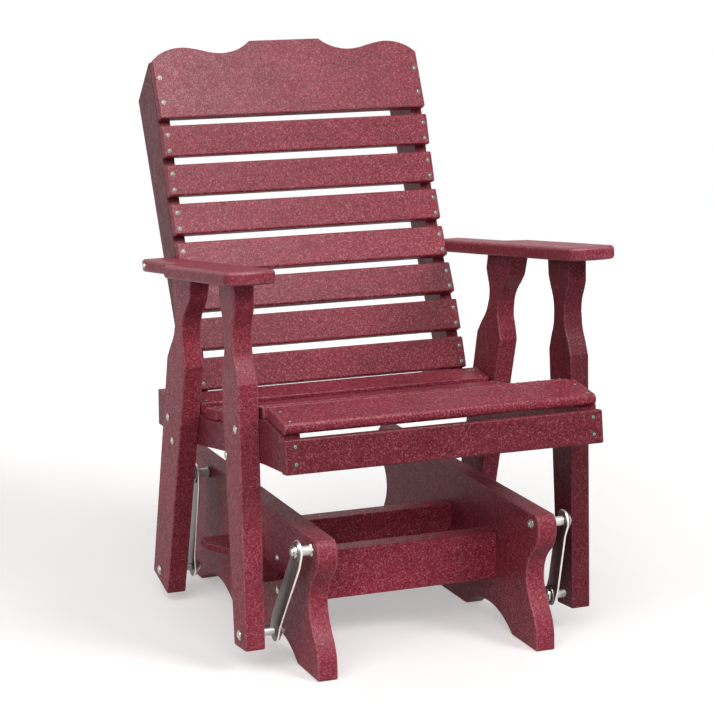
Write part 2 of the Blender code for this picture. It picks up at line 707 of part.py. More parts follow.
def post_outline(foot, foot_width, shoulder_width, head_width, head_y):
    """Post from its foot at a pivot up to the arm, waisted between shoulder and head."""
    base = Vector((foot.x, foot.y - POST_FOOT_DROP))
    head_z = arm_underside(head_y) - FIT_GAP / math.cos(ARM_TILT)
    top = Vector((head_y, head_z))
    axis = top - base

    def edge(share, half_width, side):
        return base + axis * share + Vector((half_width * side, 0.0))

    def foot_corner(side):
        # The foot is cut square to the post, which leans.
        return base + Vector((axis.y, -axis.x)).normalized() * foot_width / 2 * side

    def stretch(shares, start, end, wide, side):
        return [edge(start + (end - start) * t, POST_NECK / 2 + (wide - POST_NECK) / 2 * w, side)
                for t, w in shares]

    def flank(side):
        lower = smooth_line(stretch(WAIST_LOWER_SHARES, POST_SHOULDER_SHARE, POST_NECK_SHARE,
                                    shoulder_width, side), POST_STEPS)
        upper = smooth_line(stretch(WAIST_UPPER_SHARES, POST_NECK_SHARE, POST_LIP_SHARE,
                                    head_width, side), POST_STEPS)
        return [foot_corner(side)] + lower + upper[1:]

    def head_corner(side):
        lip = edge(POST_LIP_SHARE, head_width / 2, side)
        run = axis.normalized()
        # Carry the head straight up until it meets the arm's sloping underside.
        slope = math.tan(ARM_TILT)
        climb = (head_z - slope * (lip.x - head_y) - lip.y) / (run.y + slope * run.x)
        return lip + run * climb

    rear = flank(1) + [head_corner(1)]
    front = flank(-1) + [head_corner(-1)]
    return rear + list(reversed(front))


POSTS = (
    ("front", FRONT_FOOT, FRONT_POST_FOOT, FRONT_POST_SHOULDER, FRONT_POST_HEAD, FRONT_POST_HEAD_Y),
    ("rear", REAR_FOOT, REAR_POST_FOOT, REAR_POST_SHOULDER, REAR_POST_HEAD, REAR_POST_HEAD_Y),
)


def make_posts():
    """Four posts, drilled for the lower pivots."""
    for end, foot, foot_width, shoulder, head, head_y in POSTS:
        outline = post_outline(foot, foot_width, shoulder, head, head_y)
        for word, side in SIDES:
            post = side_board(word + "_" + end + "_post", outline, FRAME_BOARD, POST_OUTER_X, side)
            ease_edges(post)
            bake_modifiers(post)
            middle = side * (POST_OUTER_X - FRAME_BOARD / 2)
            length = FRAME_BOARD + 2 * CUT_OVERRUN
            cut_with(post, [hole_along_x(middle, foot.x, foot.y, BOLT_RADIUS + FIT_GAP, length)])
            finish(post, LUMBER, SEAT_CARRIER)


def rail_outline():
    """Side rail: its upper edge has a flat under each slat, its lower edge is one long curve."""
    drop = RAIL_FRONT_BOTTOM_Z - RAIL_TAIL_BOTTOM_Z
    lower = smooth_line([Vector((RAIL_FRONT_Y + y * RAIL_LENGTH, RAIL_TAIL_BOTTOM_Z + z * drop))
                         for y, z in RAIL_EDGE_SHARES], RAIL_EDGE_STEPS)
    upper = []
    for (corner, direction), width in zip(SEAT_PLACES, SEAT_SLAT_WIDTHS):
        below = square_to(direction) * FIT_GAP
        upper += [corner - below, corner + direction * width - below]
    # The first flat starts at the apron's rear face, which leans back as it rises.
    slope = math.tan(SEAT_SLAT_TILTS[0])
    lean = math.tan(APRON_TILT)
    rise = upper[0].y - slope * upper[0].x
    front_y = (RAIL_FRONT_Y + (rise - RAIL_FRONT_BOTTOM_Z) * lean) / (1 - slope * lean)
    upper[0] = Vector((front_y, rise + slope * front_y))
    upper += [Vector((RAIL_TAIL_Y, RAIL_TAIL_TOP_Z))]
    return lower + list(reversed(upper))


def upright_outline():
    """Back upright: flats on its front edge for the slats, a straight rear edge and a cut top."""
    front = []
    for (corner, up), width in zip(BACK_PLACES, [BACK_SLAT_WIDTH] * (len(BACK_PLACES) - 1) + [0.0]):
        behind = -square_to(up) * (BACK_BOARD + FIT_GAP)
        front += [corner + behind, corner + up * width + behind] if width else [corner + behind]
    behind = -square_to(CREST_UP) * (BACK_BOARD + FIT_GAP)
    front.append(UPRIGHT_TOP + behind)
    foot_front = front[0] - BACK_PLACES[0][1] * UPRIGHT_FOOT_DROP
    drop = UPRIGHT_REAR_CORNER.y - foot_front.y
    foot_rear = UPRIGHT_REAR_CORNER - Vector((drop * math.tan(UPRIGHT_REAR_LEAN), drop))
    top_rear = UPRIGHT_TOP - square_to(CREST_UP) * (BACK_BOARD + UPRIGHT_TIP)
    return [foot_front] + front + [top_rear, UPRIGHT_REAR_CORNER, foot_rear]


def make_uprights():
    """Two back uprights, their feet let into the inner faces of the side rails."""
    outline = upright_outline()
    for word, side in SIDES:
        upright = side_board(word + "_back_upright", outline, UPRIGHT_BOARD, UPRIGHT_OUTER_X, side)
        ease_edges(upright, EASED_EDGE / 2)
        finish(bake_modifiers(upright), LUMBER, SEAT_CARRIER)


def grown_outline(outline, gap):
    """The same outline pushed outward by a gap."""
    grown = []
    count = len(outline)
    for index in range(count):
        before, here, after = outline[index - 1], outline[index], outline[(index + 1) % count]
        normal_in = -square_to((here - before).normalized())
        normal_out = -square_to((after - here).normalized())
        mean = (normal_in + normal_out).normalized()
        grown.append(here + mean * gap / max(0.3, mean.dot(normal_in)))
    return grown


def make_side_rails():
    """Two side rails, each with a housing for the foot of a back upright."""
    pocket = list(reversed(upright_outline()))
    for word, side in SIDES:
        rail = side_board(word + "_seat_rail", rail_outline(), FRAME_BOARD, SEAT_HALF_WIDTH, side)
        ease_edges(rail, EASED_EDGE / 2)
        bake_modifiers(rail)
        floor_x = UPRIGHT_OUTER_X + FIT_GAP
        width = floor_x - RAIL_INNER_X + CUT_OVERRUN
        middle = side * (floor_x - width / 2)
        housing = make_solid("housing", outline_mesh("housing", grown_outline(pocket, FIT_GAP), width),
                             Matrix.Translation((middle, 0.0, 0.0)) @ SIDE_VIEW, CUTTERS)
        cut_with(rail, [housing])
        finish(rail, LUMBER, SEAT_CARRIER)


def cross_board(name, width, height, thickness, corner, up, edge=EASED_EDGE):
    """Board across the chair: its front face stands on a corner (y, z) and runs up."""
    behind = -square_to(up)
    centre = corner + up * height / 2 + behind * thickness / 2
    turn = Matrix.Rotation(-math.atan2(up.x, up.y), 4, "X")
    board = make_solid(name, box_mesh(name, (width, thickness, height)),
                       Matrix.Translation((0.0, centre.x, centre.y)) @ turn)
    ease_edges(board, edge)
    return finish(bake_modifiers(board), LUMBER, SEAT_CARRIER)


def make_seat_slats():
    """Seat slats across the side rails."""
    width = 2 * (SEAT_HALF_WIDTH - SEAT_SLAT_INSET)
    for index, ((corner, direction), depth) in enumerate(zip(SEAT_PLACES, SEAT_SLAT_WIDTHS)):
        # A seat slat is a cross board lying down: its front face looks up and it runs back.
        top = corner + square_to(direction) * SEAT_BOARD
        cross_board("seat_slat_%d" % (index + 1), width, depth, SEAT_BOARD, top, direction)


def make_apron():
    """Front apron across the ends of the side rails."""
    up = Vector((math.sin(APRON_TILT), math.cos(APRON_TILT)))
    cross_board("seat_apron", 2 * SEAT_HALF_WIDTH, APRON_HEIGHT, APRON_BOARD,
                Vector((0.0, RAIL_FRONT_BOTTOM_Z)), up)


def make_back_slats():
    """Seven slats and the shaped crest board."""
    for index, (corner, up) in enumerate(BACK_PLACES[:-1]):
        cross_board("back_slat_%d" % (index + 1), 2 * BACK_HALF_WIDTH, BACK_SLAT_WIDTH, BACK_BOARD, corner, up)
    half = [Vector((x * BACK_HALF_WIDTH, z * CREST_HEIGHT)) for x, z in CREST_FLAT_SHARES[1:]]
    sweep = smooth_line([Vector((x * BACK_HALF_WIDTH, z * CREST_HEIGHT)) for x, z in CREST_SWEEP_SHARES],
                        CREST_STEPS)
    half += sweep[1:] + [Vector((BACK_HALF_WIDTH, 0.0))]
    outline = list(reversed(half)) + [Vector((-point.x, point.y)) for point in half]
    centre = CREST_FOOT - square_to(CREST_UP) * BACK_BOARD / 2
    lean = math.atan2(CREST_UP.x, CREST_UP.y)
    place = Matrix.Translation((0.0, centre.x, centre.y)) @ Matrix.Rotation(math.pi / 2 - lean, 4, "X")
    crest = make_solid("crest_board", outline_mesh("crest_board", outline, BACK_BOARD), place)
    ease_edges(crest)
    finish(bake_modifiers(crest), LUMBER, SEAT_CARRIER)


def arm_outline():
    """Arm from above, as (x, distance back): bowed front, wide body and a narrow tail."""
    inner, outer, tail = ARM_INNER_X, ARM_HALF_REACH, ARM_INNER_X + ARM_TAIL_WIDTH
    front = arc_line((outer - ARM_CORNER, ARM_BOW), (inner + ARM_CORNER, ARM_BOW), ARM_BOW, ARM_STEPS)
    corner_out = [(outer, ARM_CORNER + ARM_BOW)]
    corner_in = [(inner, ARM_CORNER + ARM_BOW)]
    rear = [(inner, ARM_LENGTH), (tail, ARM_LENGTH), (tail, ARM_BODY_LENGTH + ARM_HALF_REACH - tail),
            (outer, ARM_BODY_LENGTH)]
    return [Vector(point) for point in list(front) + corner_in + rear + corner_out]


def make_arms():
    """Two arms on the posts, their tails screwed to the sides of the back uprights."""
    outline = arm_outline()
    rise = ARM_BOARD / 2 / math.cos(ARM_TILT)
    for word, side in SIDES:
        flat = [(side * point.x, point.y) for point in outline]
        place = (Matrix.Translation((0.0, ARM_FRONT_Y, ARM_FRONT_Z + rise))
                 @ Matrix.Rotation(-ARM_TILT, 4, "X"))
        arm = make_solid(word + "_arm", outline_mesh(word + "_arm", flat, ARM_BOARD), place)
        ease_edges(arm)
        finish(bake_modifiers(arm), LUMBER, SEAT_CARRIER)


make_side_panels()
make_cross_rails()
make_guide_plates()
make_links()
make_upper_pivots()
make_lower_pivots()
make_posts()
make_side_rails()
make_uprights()
make_apron()
make_seat_slats()
make_back_slats()
make_arms()
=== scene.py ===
"""Looks of a slatted glider chair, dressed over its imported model. Lengths are in metres."""

import math

import bmesh
import bpy
from mathutils import Matrix, Vector


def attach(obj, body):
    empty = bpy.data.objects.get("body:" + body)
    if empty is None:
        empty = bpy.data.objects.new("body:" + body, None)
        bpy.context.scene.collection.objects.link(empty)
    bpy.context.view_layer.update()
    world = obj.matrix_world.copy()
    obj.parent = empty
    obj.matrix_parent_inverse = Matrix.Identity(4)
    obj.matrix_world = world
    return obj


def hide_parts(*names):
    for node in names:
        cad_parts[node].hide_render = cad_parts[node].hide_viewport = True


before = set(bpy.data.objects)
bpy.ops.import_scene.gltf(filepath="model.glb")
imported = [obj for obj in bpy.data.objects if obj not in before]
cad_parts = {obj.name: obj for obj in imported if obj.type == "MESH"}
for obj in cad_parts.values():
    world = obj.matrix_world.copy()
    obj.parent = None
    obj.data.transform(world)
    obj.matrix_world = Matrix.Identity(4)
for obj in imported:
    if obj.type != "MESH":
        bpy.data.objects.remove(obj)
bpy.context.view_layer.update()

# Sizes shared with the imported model
FIT_GAP = 0.0003
FRAME_BOARD = 0.038
BACK_BOARD = 0.022
SEAT_BOARD = 0.022
ARM_BOARD = 0.025
STAND_HALF_WIDTH = 0.2335
PANEL_LENGTH = 0.7635
PANEL_HEIGHT = 0.257
PANEL_FRONT_Y = 0.0395
ARCH_RISE = 0.0345
PANEL_EDGE_SHARES = (
    (0.018, 1.0), (0.003, 0.955), (0.0005, 0.86), (0.014, 0.765), (0.046, 0.665), (0.061, 0.56),
    (0.059, 0.45), (0.040, 0.335), (0.017, 0.245), (0.003, 0.14), (0.0, 0.0),
)
ARCH_START_SHARE = 0.138
ARCH_END_SHARE = 0.4103
CROSS_RAIL_HEIGHT = 0.092
CROSS_RAIL_DEPTH = 0.042
CROSS_RAIL_BOTTOM_Z = 0.090
FRONT_RAIL_Y = 0.2155
REAR_RAIL_Y = 0.4215
GUIDE_LENGTH = 0.272
GUIDE_REACH = 0.068
GUIDE_WAIST = 0.042
GUIDE_EAR = 0.043
GUIDE_TAPER = 0.045
GUIDE_BOARD = 0.014
GUIDE_TOP_Z = 0.151
PIVOT_Z = 0.2365
FRONT_PIVOT_Y = 0.068
STAND_PIVOT_SPAN = 0.572
SEAT_PIVOT_SPAN = 0.4757
LINK_LENGTH = 0.184
FRONT_LINK_ANGLE = math.radians(24.6)
STRAP_WIDTH = 0.041
STRAP_SHEET = 0.004
STRAP_FLAT = 0.024
STRAP_JOGGLE = 0.016
UPPER_SPACER_LENGTH = 0.0242
UPPER_SPACER_RADIUS = 0.009
STAR_RADIUS = 0.0125
STAR_THICKNESS = 0.0045
STAR_ROOT_SHARE = 0.66
STAR_POINTS = 5
LOWER_SPACER_LENGTH = 0.0264
LOWER_SPACER_RADIUS = 0.0075
BEARING_RADIUS = 0.0185
BEARING_HUB_RADIUS = 0.0120
BEARING_FLANGE = 0.003
BEARING_DEPTH = 0.008
BOLT_RADIUS = 0.004
BOLT_HEAD_RADIUS = 0.0095
BOLT_HEAD_HEIGHT = 0.0045
NUT_RADIUS = 0.0075
NUT_HEIGHT = 0.005
SEAT_HALF_WIDTH = 0.305
SEAT_SLAT_INSET = 0.0055
SEAT_FRONT_Y = 0.0228
SEAT_FRONT_Z = 0.4585
SEAT_SLAT_WIDTHS = (0.089, 0.0635, 0.0635, 0.0635, 0.0635, 0.0635)
SEAT_SLAT_TILTS = tuple(math.radians(tilt) for tilt in (7.2, -13.5, -14.5, -14.0, -8.5, 7.0))
SEAT_NOSE_GAP = 0.017
SEAT_SLAT_GAP = 0.0265
RAIL_TAIL_Y = 0.735
RAIL_TAIL_TOP_Z = 0.391
RAIL_FRONT_BOTTOM_Z = 0.3950
RAIL_TAIL_BOTTOM_Z = 0.3196
RAIL_EDGE_SHARES = ((0.0, 1.0), (0.17, 0.85), (0.44, 0.52), (0.69, 0.15), (0.84, 0.035), (1.0, 0.0))
APRON_HEIGHT = 0.061
APRON_BOARD = 0.0245
APRON_TILT = math.radians(8.0)
BACK_HALF_WIDTH = 0.2815
BACK_FOOT_GAP = 0.004
BACK_FOOT_RISE = 0.001
BACK_SLAT_WIDTH = 0.0622
BACK_SLAT_GAP = 0.0156
BACK_LEANS = tuple(math.radians(lean) for lean in (20.5, 23.5, 28.5, 27.5, 23.5, 20.0, 18.0, 25.5))
CREST_HEIGHT = 0.1545
CREST_SWEEP_SHARES = (
    (0.262, 1.0), (0.31, 0.935), (0.38, 0.876), (0.472, 0.846), (0.565, 0.862), (0.66, 0.908),
    (0.765, 0.938), (0.86, 0.918), (0.94, 0.858), (1.0, 0.772),
)
UPRIGHT_BOARD = 0.0248
UPRIGHT_HEAD_DEPTH = 0.1065
UPRIGHT_TIP = 0.006
UPRIGHT_TOP_SHARE = 0.80
UPRIGHT_NOTCH_SHARE = 0.53
UPRIGHT_FOOT_DROP = 0.075
UPRIGHT_REAR_LEAN = math.radians(27.1)
POST_SIZES = {  # foot, shoulder and head widths, and how far back the head is
    "front": (0.062, 0.090, 0.086, 0.198),
    "rear": (0.092, 0.108, 0.104, 0.450),
}
POST_NECK = 0.042
POST_FOOT_DROP = 0.025
POST_SHOULDER_SHARE = 0.735
POST_NECK_SHARE = 0.856
POST_LIP_SHARE = 0.945
WAIST_LOWER_SHARES = ((0.0, 1.0), (0.30, 0.62), (0.62, 0.16), (1.0, 0.0))
WAIST_UPPER_SHARES = ((0.0, 0.0), (0.35, 0.16), (0.75, 0.66), (1.0, 0.94))
ARM_HALF_REACH = 0.3763
ARM_FRONT_Y = 0.090
ARM_FRONT_Z = 0.7124
ARM_TILT = math.radians(7.2)
ARM_LENGTH = 0.625
ARM_BODY_LENGTH = 0.368
ARM_TAIL_WIDTH = 0.060
ARM_BOW = 0.011
ARM_CORNER = 0.007

# Sizes of the finer work that only the looks have
EASED = 0.0032
BOARD_CORNER = 1.2 * EASED
TIGHT_CORNER = 0.6 * EASED
CURVE_STEPS = 6
ARC_STEPS = 22
SHARP_TURN = math.radians(24)
MITRE_LIMIT = 0.35
LEG_SHARE = 0.96
NORMAL_WEIGHT = 60
FITTING_SHARP = 32
COARSE_SHARP = 40
NOSE_RADIUS = 0.010
ARM_ROUND = 0.0070
ARM_NOSE = 0.015
HOUSING_RIM = 0.00001
DOME_FOOT_SHARE = 0.25
SCREW_RADIUS = 0.0030
SCREW_HEIGHT = 0.0009
# Dark square and ring on each screw head: painted shade of its socket and countersink
SOCKET_HALF = 0.0009
SOCKET_DEPTH = 0.0003
SOCKET_RIM = 0.00005
SCREW_RING_SHARES = (1.62, 0.9)
SCREW_RING_LIFT = 0.00015
FRAME_BOLT_RADIUS = 0.0062
FRAME_BOLT_HEIGHT = 0.0032
TAIL_BOLT_SHARE = 0.8
PIVOT_HEAD_SHARE = 0.82
BOLT_WASHER = (1.22, 0.0007)  # share of the head's radius, and thickness
NUT_WASHER = (1.3, 0.0009)
WASHER_BORE_SHARE = 0.5
NUT_RIM_SHARE = 0.12
THREAD_RISES = (0.0022, 0.0015)  # tip and shoulder of the thread's end above the nut
THREAD_TIP_SHARE = 0.8
SLEEVE_SOFT = 0.0008
STAR_CORNER = 0.0016
STAR_RIM = 0.0009
STRAP_STEPS = 18
SOFT_SHARE = 0.3
BEARING_SOFT = 0.0009
HUB_WALL = 0.0022
RACE_RADIUS = 0.0068
RIVET_RADIUS = 0.0021
RIVET_HEIGHT = 0.0012
RIVET_CIRCLE = 0.0152
REAR_PLAY = 0.0028

# Places of the screws and frame bolts
SEAT_SCREW_X = 0.286
BACK_SCREW_X = 0.2715
APRON_SCREW_RISES = (0.0175, 0.0485)
CREST_SCREW_RISES = (0.032, 0.083)
BACK_SCREW_SHARES = (0.19, 0.70)
SEAT_SCREW_SHARES = (0.20, 0.72)
NOSE_SCREW_SHARES = (0.15, 0.70)
CROSS_BOLTS = ((0.245, 0.1705), (0.245, 0.1105), (0.440, 0.1705), (0.440, 0.1105))
POST_BOLTS = ((0.1546, 0.4451), (0.2083, 0.3861), (0.549, 0.3786), (0.5236, 0.338))
TAIL_SCREW_Y = 0.690

# Colours and surfaces
BOARD_TONE_AND_PAINTED_LIGHT = {  # each board's colour scale: partly tone that differs by board, partly painted shade and painted light for how light falls on it
    "seat_apron": 0.66, "left_front_post": 0.49, "left_rear_post": 0.82,
    "right_front_post": 1.02, "right_side_panel": 1.05, "front_cross_rail": 1.2,
    "rear_cross_rail": 1.6, "left_seat_rail": 0.8, "right_seat_rail": 0.70,
    "right_back_upright": 0.5, "left_back_upright": 0.65, "left_guide_plate": 0.9,
    "right_guide_plate": 0.72, "crest_board": 0.94, "back_slat_7": 0.96, "back_slat_6": 0.95,
    "back_slat_4": 1.06, "back_slat_3": 0.87, "back_slat_2": 0.91, "back_slat_1": 0.93,
    "seat_slat_3": 1.12,
}
LUMBER_DARK = (0.105, 0.0085, 0.015, 1.0)
LUMBER_MID = (0.245, 0.0225, 0.04, 1.0)
LUMBER_LIGHT = (0.44, 0.098, 0.14, 1.0)
FLECK_LIGHT = (0.56, 0.23, 0.265, 1.0)
FLECK_DARK = (0.03, 0.003, 0.006, 1.0)
CUT_COLOUR = (0.29, 0.055, 0.078, 1.0)
# Pale colour midway round each eased rim: edge wear with a painted highlight where the rims catch light
WEAR_AND_SHEEN_COLOUR = (0.52, 0.185, 0.225, 1.0)
CUT_ROUGHNESS = 0.64
LUMBER_SPECULAR = 0.12
LUMBER_RELIEF = 0.0012
METAL_RELIEF = 0.0002
FLOW_ALONG = 9.0
FLOW_ACROSS = 60.0
BOARD_SHIFT = (7.3, 5.1, 3.7)

# Floor, light and camera
FLOOR_HALF = 3.2
FLOOR_DROP = 0.0002
FLOOR_COLOUR = (0.80, 0.775, 0.77, 1.0)
FLOOR_BOUNCE = (0.36, 0.35, 0.35, 1.0)
FLOOR_GLOW = 0.352
AMBIENT = 0.20
LAMPS = (  # name, degrees from the front towards +X, degrees up, strength, spread, seen in gloss
    ("left_soft", -40.0, 44.0, 1.70, 62.0, True),
    ("right_soft", 36.0, 37.0, 1.52, 24.0, False),
    ("back_soft", 180.0, 9.0, 0.60, 50.0, False),
)
LAMP_DISTANCE = 4
BOX_PLACE = (-0.12, -1.75, 3.1)
BOX_AIM = (-0.2, 0.3, 0.8)
BOX_SIZE = (0.9, 0.8)
BOX_WATTS = 330.0
CAMERA_PLACE = (-1.66883324, -3.70073735, 1.45931929)
CAMERA_ANGLES = tuple(math.radians(angle) for angle in (-21.96895678, 12.23705985, -0.05897476))
FOCAL_PIXELS = 2386.94
PHOTO_PIXELS = 713
SENSOR = 36.0

SIDES = (("left", 1), ("right", -1))
ENDS = ("front", "rear")
PANEL_INNER_X = STAND_HALF_WIDTH - FRAME_BOARD
PANEL_MID_Y = PANEL_FRONT_Y + PANEL_LENGTH / 2
REAR_PIVOT_Y = FRONT_PIVOT_Y + STAND_PIVOT_SPAN
PIVOT_Y = {"front": FRONT_PIVOT_Y, "rear": REAR_PIVOT_Y}
POST_INNER_X = SEAT_HALF_WIDTH + FIT_GAP
POST_OUTER_X = POST_INNER_X + FRAME_BOARD
STRAP_TOP_X = STAND_HALF_WIDTH + UPPER_SPACER_LENGTH + 2 * FIT_GAP
STRAP_FOOT_X = STRAP_TOP_X + STRAP_JOGGLE
RAIL_FRONT_Y = (APRON_BOARD + FIT_GAP) / math.cos(APRON_TILT)
RAIL_LENGTH = RAIL_TAIL_Y - RAIL_FRONT_Y
RAIL_INNER_X = SEAT_HALF_WIDTH - FRAME_BOARD
APRON_FOOT = Vector((0.0, RAIL_FRONT_BOTTOM_Z))
ARM_INNER_X = BACK_HALF_WIDTH + FIT_GAP
SIDE_VIEW = Matrix(((0, 0, 1), (1, 0, 0), (0, 1, 0))).to_4x4()


# Lines in the side view, as (distance back, height), and in plan

def heading(angle, length=1.0):
    """Step along a board in the side view, rising by angle towards the back."""
    return Vector((length * math.cos(angle), length * math.sin(angle)))


def leaning(lean):
    """Unit step up a board in the side view that leans back by lean."""
    return Vector((math.sin(lean), math.cos(lean)))


def square_to(direction):
    """A quarter turn anticlockwise from a direction."""
    return Vector((-direction.y, direction.x))


def smooth_line(points):
    """Catmull-Rom curve through the points."""
    points = [Vector(point) for point in points]
    padded = [2 * points[0] - points[1]] + points + [2 * points[-1] - points[-2]]
    line = []
    for before, start, end, after in zip(padded, padded[1:], padded[2:], padded[3:]):
        for step in range(CURVE_STEPS):
            t = step / CURVE_STEPS
            line.append(0.5 * (2 * start + (end - before) * t
                               + (2 * before - 5 * start + 4 * end - after) * t * t
                               + (3 * start - before - 3 * end + after) * t ** 3))
    line.append(points[-1])
    return line


def arc_line(start, end, rise, steps):
    """Circular arc from start to end that rises to the left of the way it runs."""
    start, end = Vector(start), Vector(end)
    half = (end - start).length / 2
    along = (end - start).normalized()
    across = square_to(along)
    radius = (half * half + rise * rise) / (2 * rise)
    centre = (start + end) / 2 + across * (rise - radius)
    sweep = math.asin(half / radius)
    return [centre + along * radius * math.sin(angle) + across * radius * math.cos(angle)
            for angle in (sweep * (2 * step / steps - 1) for step in range(steps + 1))]


def linkage_at_rest():
    """Lower pivots of the front and rear links, with the four bars closed."""
    front_top = Vector((FRONT_PIVOT_Y, PIVOT_Z))
    rear_top = Vector((REAR_PIVOT_Y, PIVOT_Z))
    front_foot = front_top + LINK_LENGTH * Vector((math.sin(FRONT_LINK_ANGLE), -math.cos(FRONT_LINK_ANGLE)))
    reach = rear_top - front_foot
    distance = reach.length
    along = (SEAT_PIVOT_SPAN ** 2 - LINK_LENGTH ** 2 + distance ** 2) / (2 * distance)
    off = math.sqrt(SEAT_PIVOT_SPAN ** 2 - along ** 2)
    unit = reach.normalized()
    return front_foot, front_foot + unit * along - square_to(unit) * off


def seat_places():
    """Each seat slat's underside at its front edge, its heading and its width."""
    places = []
    corner = Vector((SEAT_FRONT_Y, SEAT_FRONT_Z))
    for width, tilt in zip(SEAT_SLAT_WIDTHS, SEAT_SLAT_TILTS):
        direction = heading(tilt)
        if places:
            corner = corner + direction * (SEAT_SLAT_GAP if len(places) > 1 else SEAT_NOSE_GAP)
        places.append((corner, direction, width))
        corner = corner + direction * width
    return places


def back_places(corner):
    """Each back board's front face at its lower edge, and the way up it."""
    places = []
    for lean, following in zip(BACK_LEANS, BACK_LEANS[1:] + BACK_LEANS[-1:]):
        places.append((corner, leaning(lean)))
        step = leaning((lean + following) / 2) * BACK_SLAT_GAP
        corner = corner + leaning(lean) * BACK_SLAT_WIDTH + step
    return places


FRONT_FOOT, REAR_FOOT = linkage_at_rest()
FEET = {"front": FRONT_FOOT, "rear": REAR_FOOT}
LINK_ANGLES = {"front": FRONT_LINK_ANGLE, "rear": math.asin((REAR_FOOT.x - REAR_PIVOT_Y) / LINK_LENGTH)}
SEAT_PLACES = seat_places()
LAST_CORNER, LAST_HEADING, LAST_WIDTH = SEAT_PLACES[-1]
SEAT_REAR_TOP = LAST_CORNER + LAST_HEADING * LAST_WIDTH + square_to(LAST_HEADING) * SEAT_BOARD
BACK_PLACES = back_places(SEAT_REAR_TOP + Vector((BACK_FOOT_GAP, BACK_FOOT_RISE)))
CREST_FOOT, CREST_UP = BACK_PLACES[-1]
UPRIGHT_TOP = CREST_FOOT + CREST_UP * CREST_HEIGHT * UPRIGHT_TOP_SHARE
UPRIGHT_REAR_CORNER = (CREST_FOOT + CREST_UP * CREST_HEIGHT * UPRIGHT_NOTCH_SHARE
                       - square_to(CREST_UP) * (BACK_BOARD + UPRIGHT_HEAD_DEPTH))
HALF_DEPTH = UPRIGHT_REAR_CORNER.x / 2
TO_FRAME = Matrix.Translation((0.0, -HALF_DEPTH, 0.0))


def panel_outline():
    """Side panel with waisted ends, three feet and two arches."""
    def at(share_y, share_z):
        return Vector((PANEL_FRONT_Y + share_y * PANEL_LENGTH, share_z * PANEL_HEIGHT))

    front = smooth_line([at(*share) for share in PANEL_EDGE_SHARES])
    arch = arc_line(at(ARCH_START_SHARE, 0.0), at(ARCH_END_SHARE, 0.0), ARCH_RISE, ARC_STEPS)
    half = front + arch
    return half + [Vector((2 * PANEL_MID_Y - point.x, point.y)) for point in reversed(half)]


def post_outline(end):
    """Post from below its pivot up to the arm, waisted between shoulder and head."""
    foot = FEET[end]
    foot_width, shoulder_width, head_width, head_y = POST_SIZES[end]
    base = Vector((foot.x, foot.y - POST_FOOT_DROP))
    head_z = ARM_FRONT_Z - (head_y - ARM_FRONT_Y) * math.tan(ARM_TILT) - FIT_GAP / math.cos(ARM_TILT)
    axis = Vector((head_y, head_z)) - base
    run = axis.normalized()
    slope = math.tan(ARM_TILT)

    def edge(share, half_width, side):
        return base + axis * share + Vector((half_width * side, 0.0))

    def stretch(shares, start, finish, wide, side):
        return [edge(start + (finish - start) * t, POST_NECK / 2 + (wide - POST_NECK) / 2 * w,
                     side) for t, w in shares]

    def flank(side):
        lower = smooth_line(stretch(WAIST_LOWER_SHARES, POST_SHOULDER_SHARE, POST_NECK_SHARE,
                                    shoulder_width, side))
        upper = smooth_line(stretch(WAIST_UPPER_SHARES, POST_NECK_SHARE, POST_LIP_SHARE, head_width, side))
        lip = edge(POST_LIP_SHARE, head_width / 2, side)
        climb = (head_z - slope * (lip.x - head_y) - lip.y) / (run.y + slope * run.x)
        corner = base + Vector((axis.y, -axis.x)).normalized() * foot_width / 2 * side
        return [corner] + lower + upper[1:] + [lip + run * climb]

    return flank(1) + list(reversed(flank(-1)))


def rail_outline():
    """Side rail, with a flat under each slat on its upper edge and one long curve below."""
    drop = RAIL_FRONT_BOTTOM_Z - RAIL_TAIL_BOTTOM_Z
    lower = smooth_line([Vector((RAIL_FRONT_Y + y * RAIL_LENGTH, RAIL_TAIL_BOTTOM_Z + z * drop))
                         for y, z in RAIL_EDGE_SHARES])
    upper = []
    for corner, direction, width in SEAT_PLACES:
        below = square_to(direction) * FIT_GAP
        upper += [corner - below, corner + direction * width - below]
    slope = math.tan(SEAT_SLAT_TILTS[0])
    lean = math.tan(APRON_TILT)
    rise = upper[0].y - slope * upper[0].x
    front_y = (RAIL_FRONT_Y + (rise - RAIL_FRONT_BOTTOM_Z) * lean) / (1 - slope * lean)
    upper[0] = Vector((front_y, rise + slope * front_y))
    upper.append(Vector((RAIL_TAIL_Y, RAIL_TAIL_TOP_Z)))
    return lower + list(reversed(upper))


def upright_outline():
    """Back upright: flats on its front edge for the slats, a straight rear edge and a cut top."""
    front = []
    for corner, up in BACK_PLACES[:-1]:
        behind = -square_to(up) * (BACK_BOARD + FIT_GAP)
        front += [corner + behind, corner + up * BACK_SLAT_WIDTH + behind]
    behind = -square_to(CREST_UP) * (BACK_BOARD + FIT_GAP)
    front += [CREST_FOOT + behind, UPRIGHT_TOP + behind]
    foot_front = front[0] - BACK_PLACES[0][1] * UPRIGHT_FOOT_DROP
    drop = UPRIGHT_REAR_CORNER.y - foot_front.y
    foot_rear = UPRIGHT_REAR_CORNER - Vector((drop * math.tan(UPRIGHT_REAR_LEAN), drop))
    top_rear = UPRIGHT_TOP - square_to(CREST_UP) * (BACK_BOARD + UPRIGHT_TIP)
    return [foot_front] + front + [top_rear, UPRIGHT_REAR_CORNER, foot_rear]


def crest_outline():
    """Crest board seen square on, from its lower edge up."""
    sweep = smooth_line([Vector((x * BACK_HALF_WIDTH, z * CREST_HEIGHT)) for x, z in CREST_SWEEP_SHARES])
    half = sweep + [Vector((BACK_HALF_WIDTH, 0.0))]
    return list(reversed(half)) + [Vector((-point.x, point.y)) for point in half]


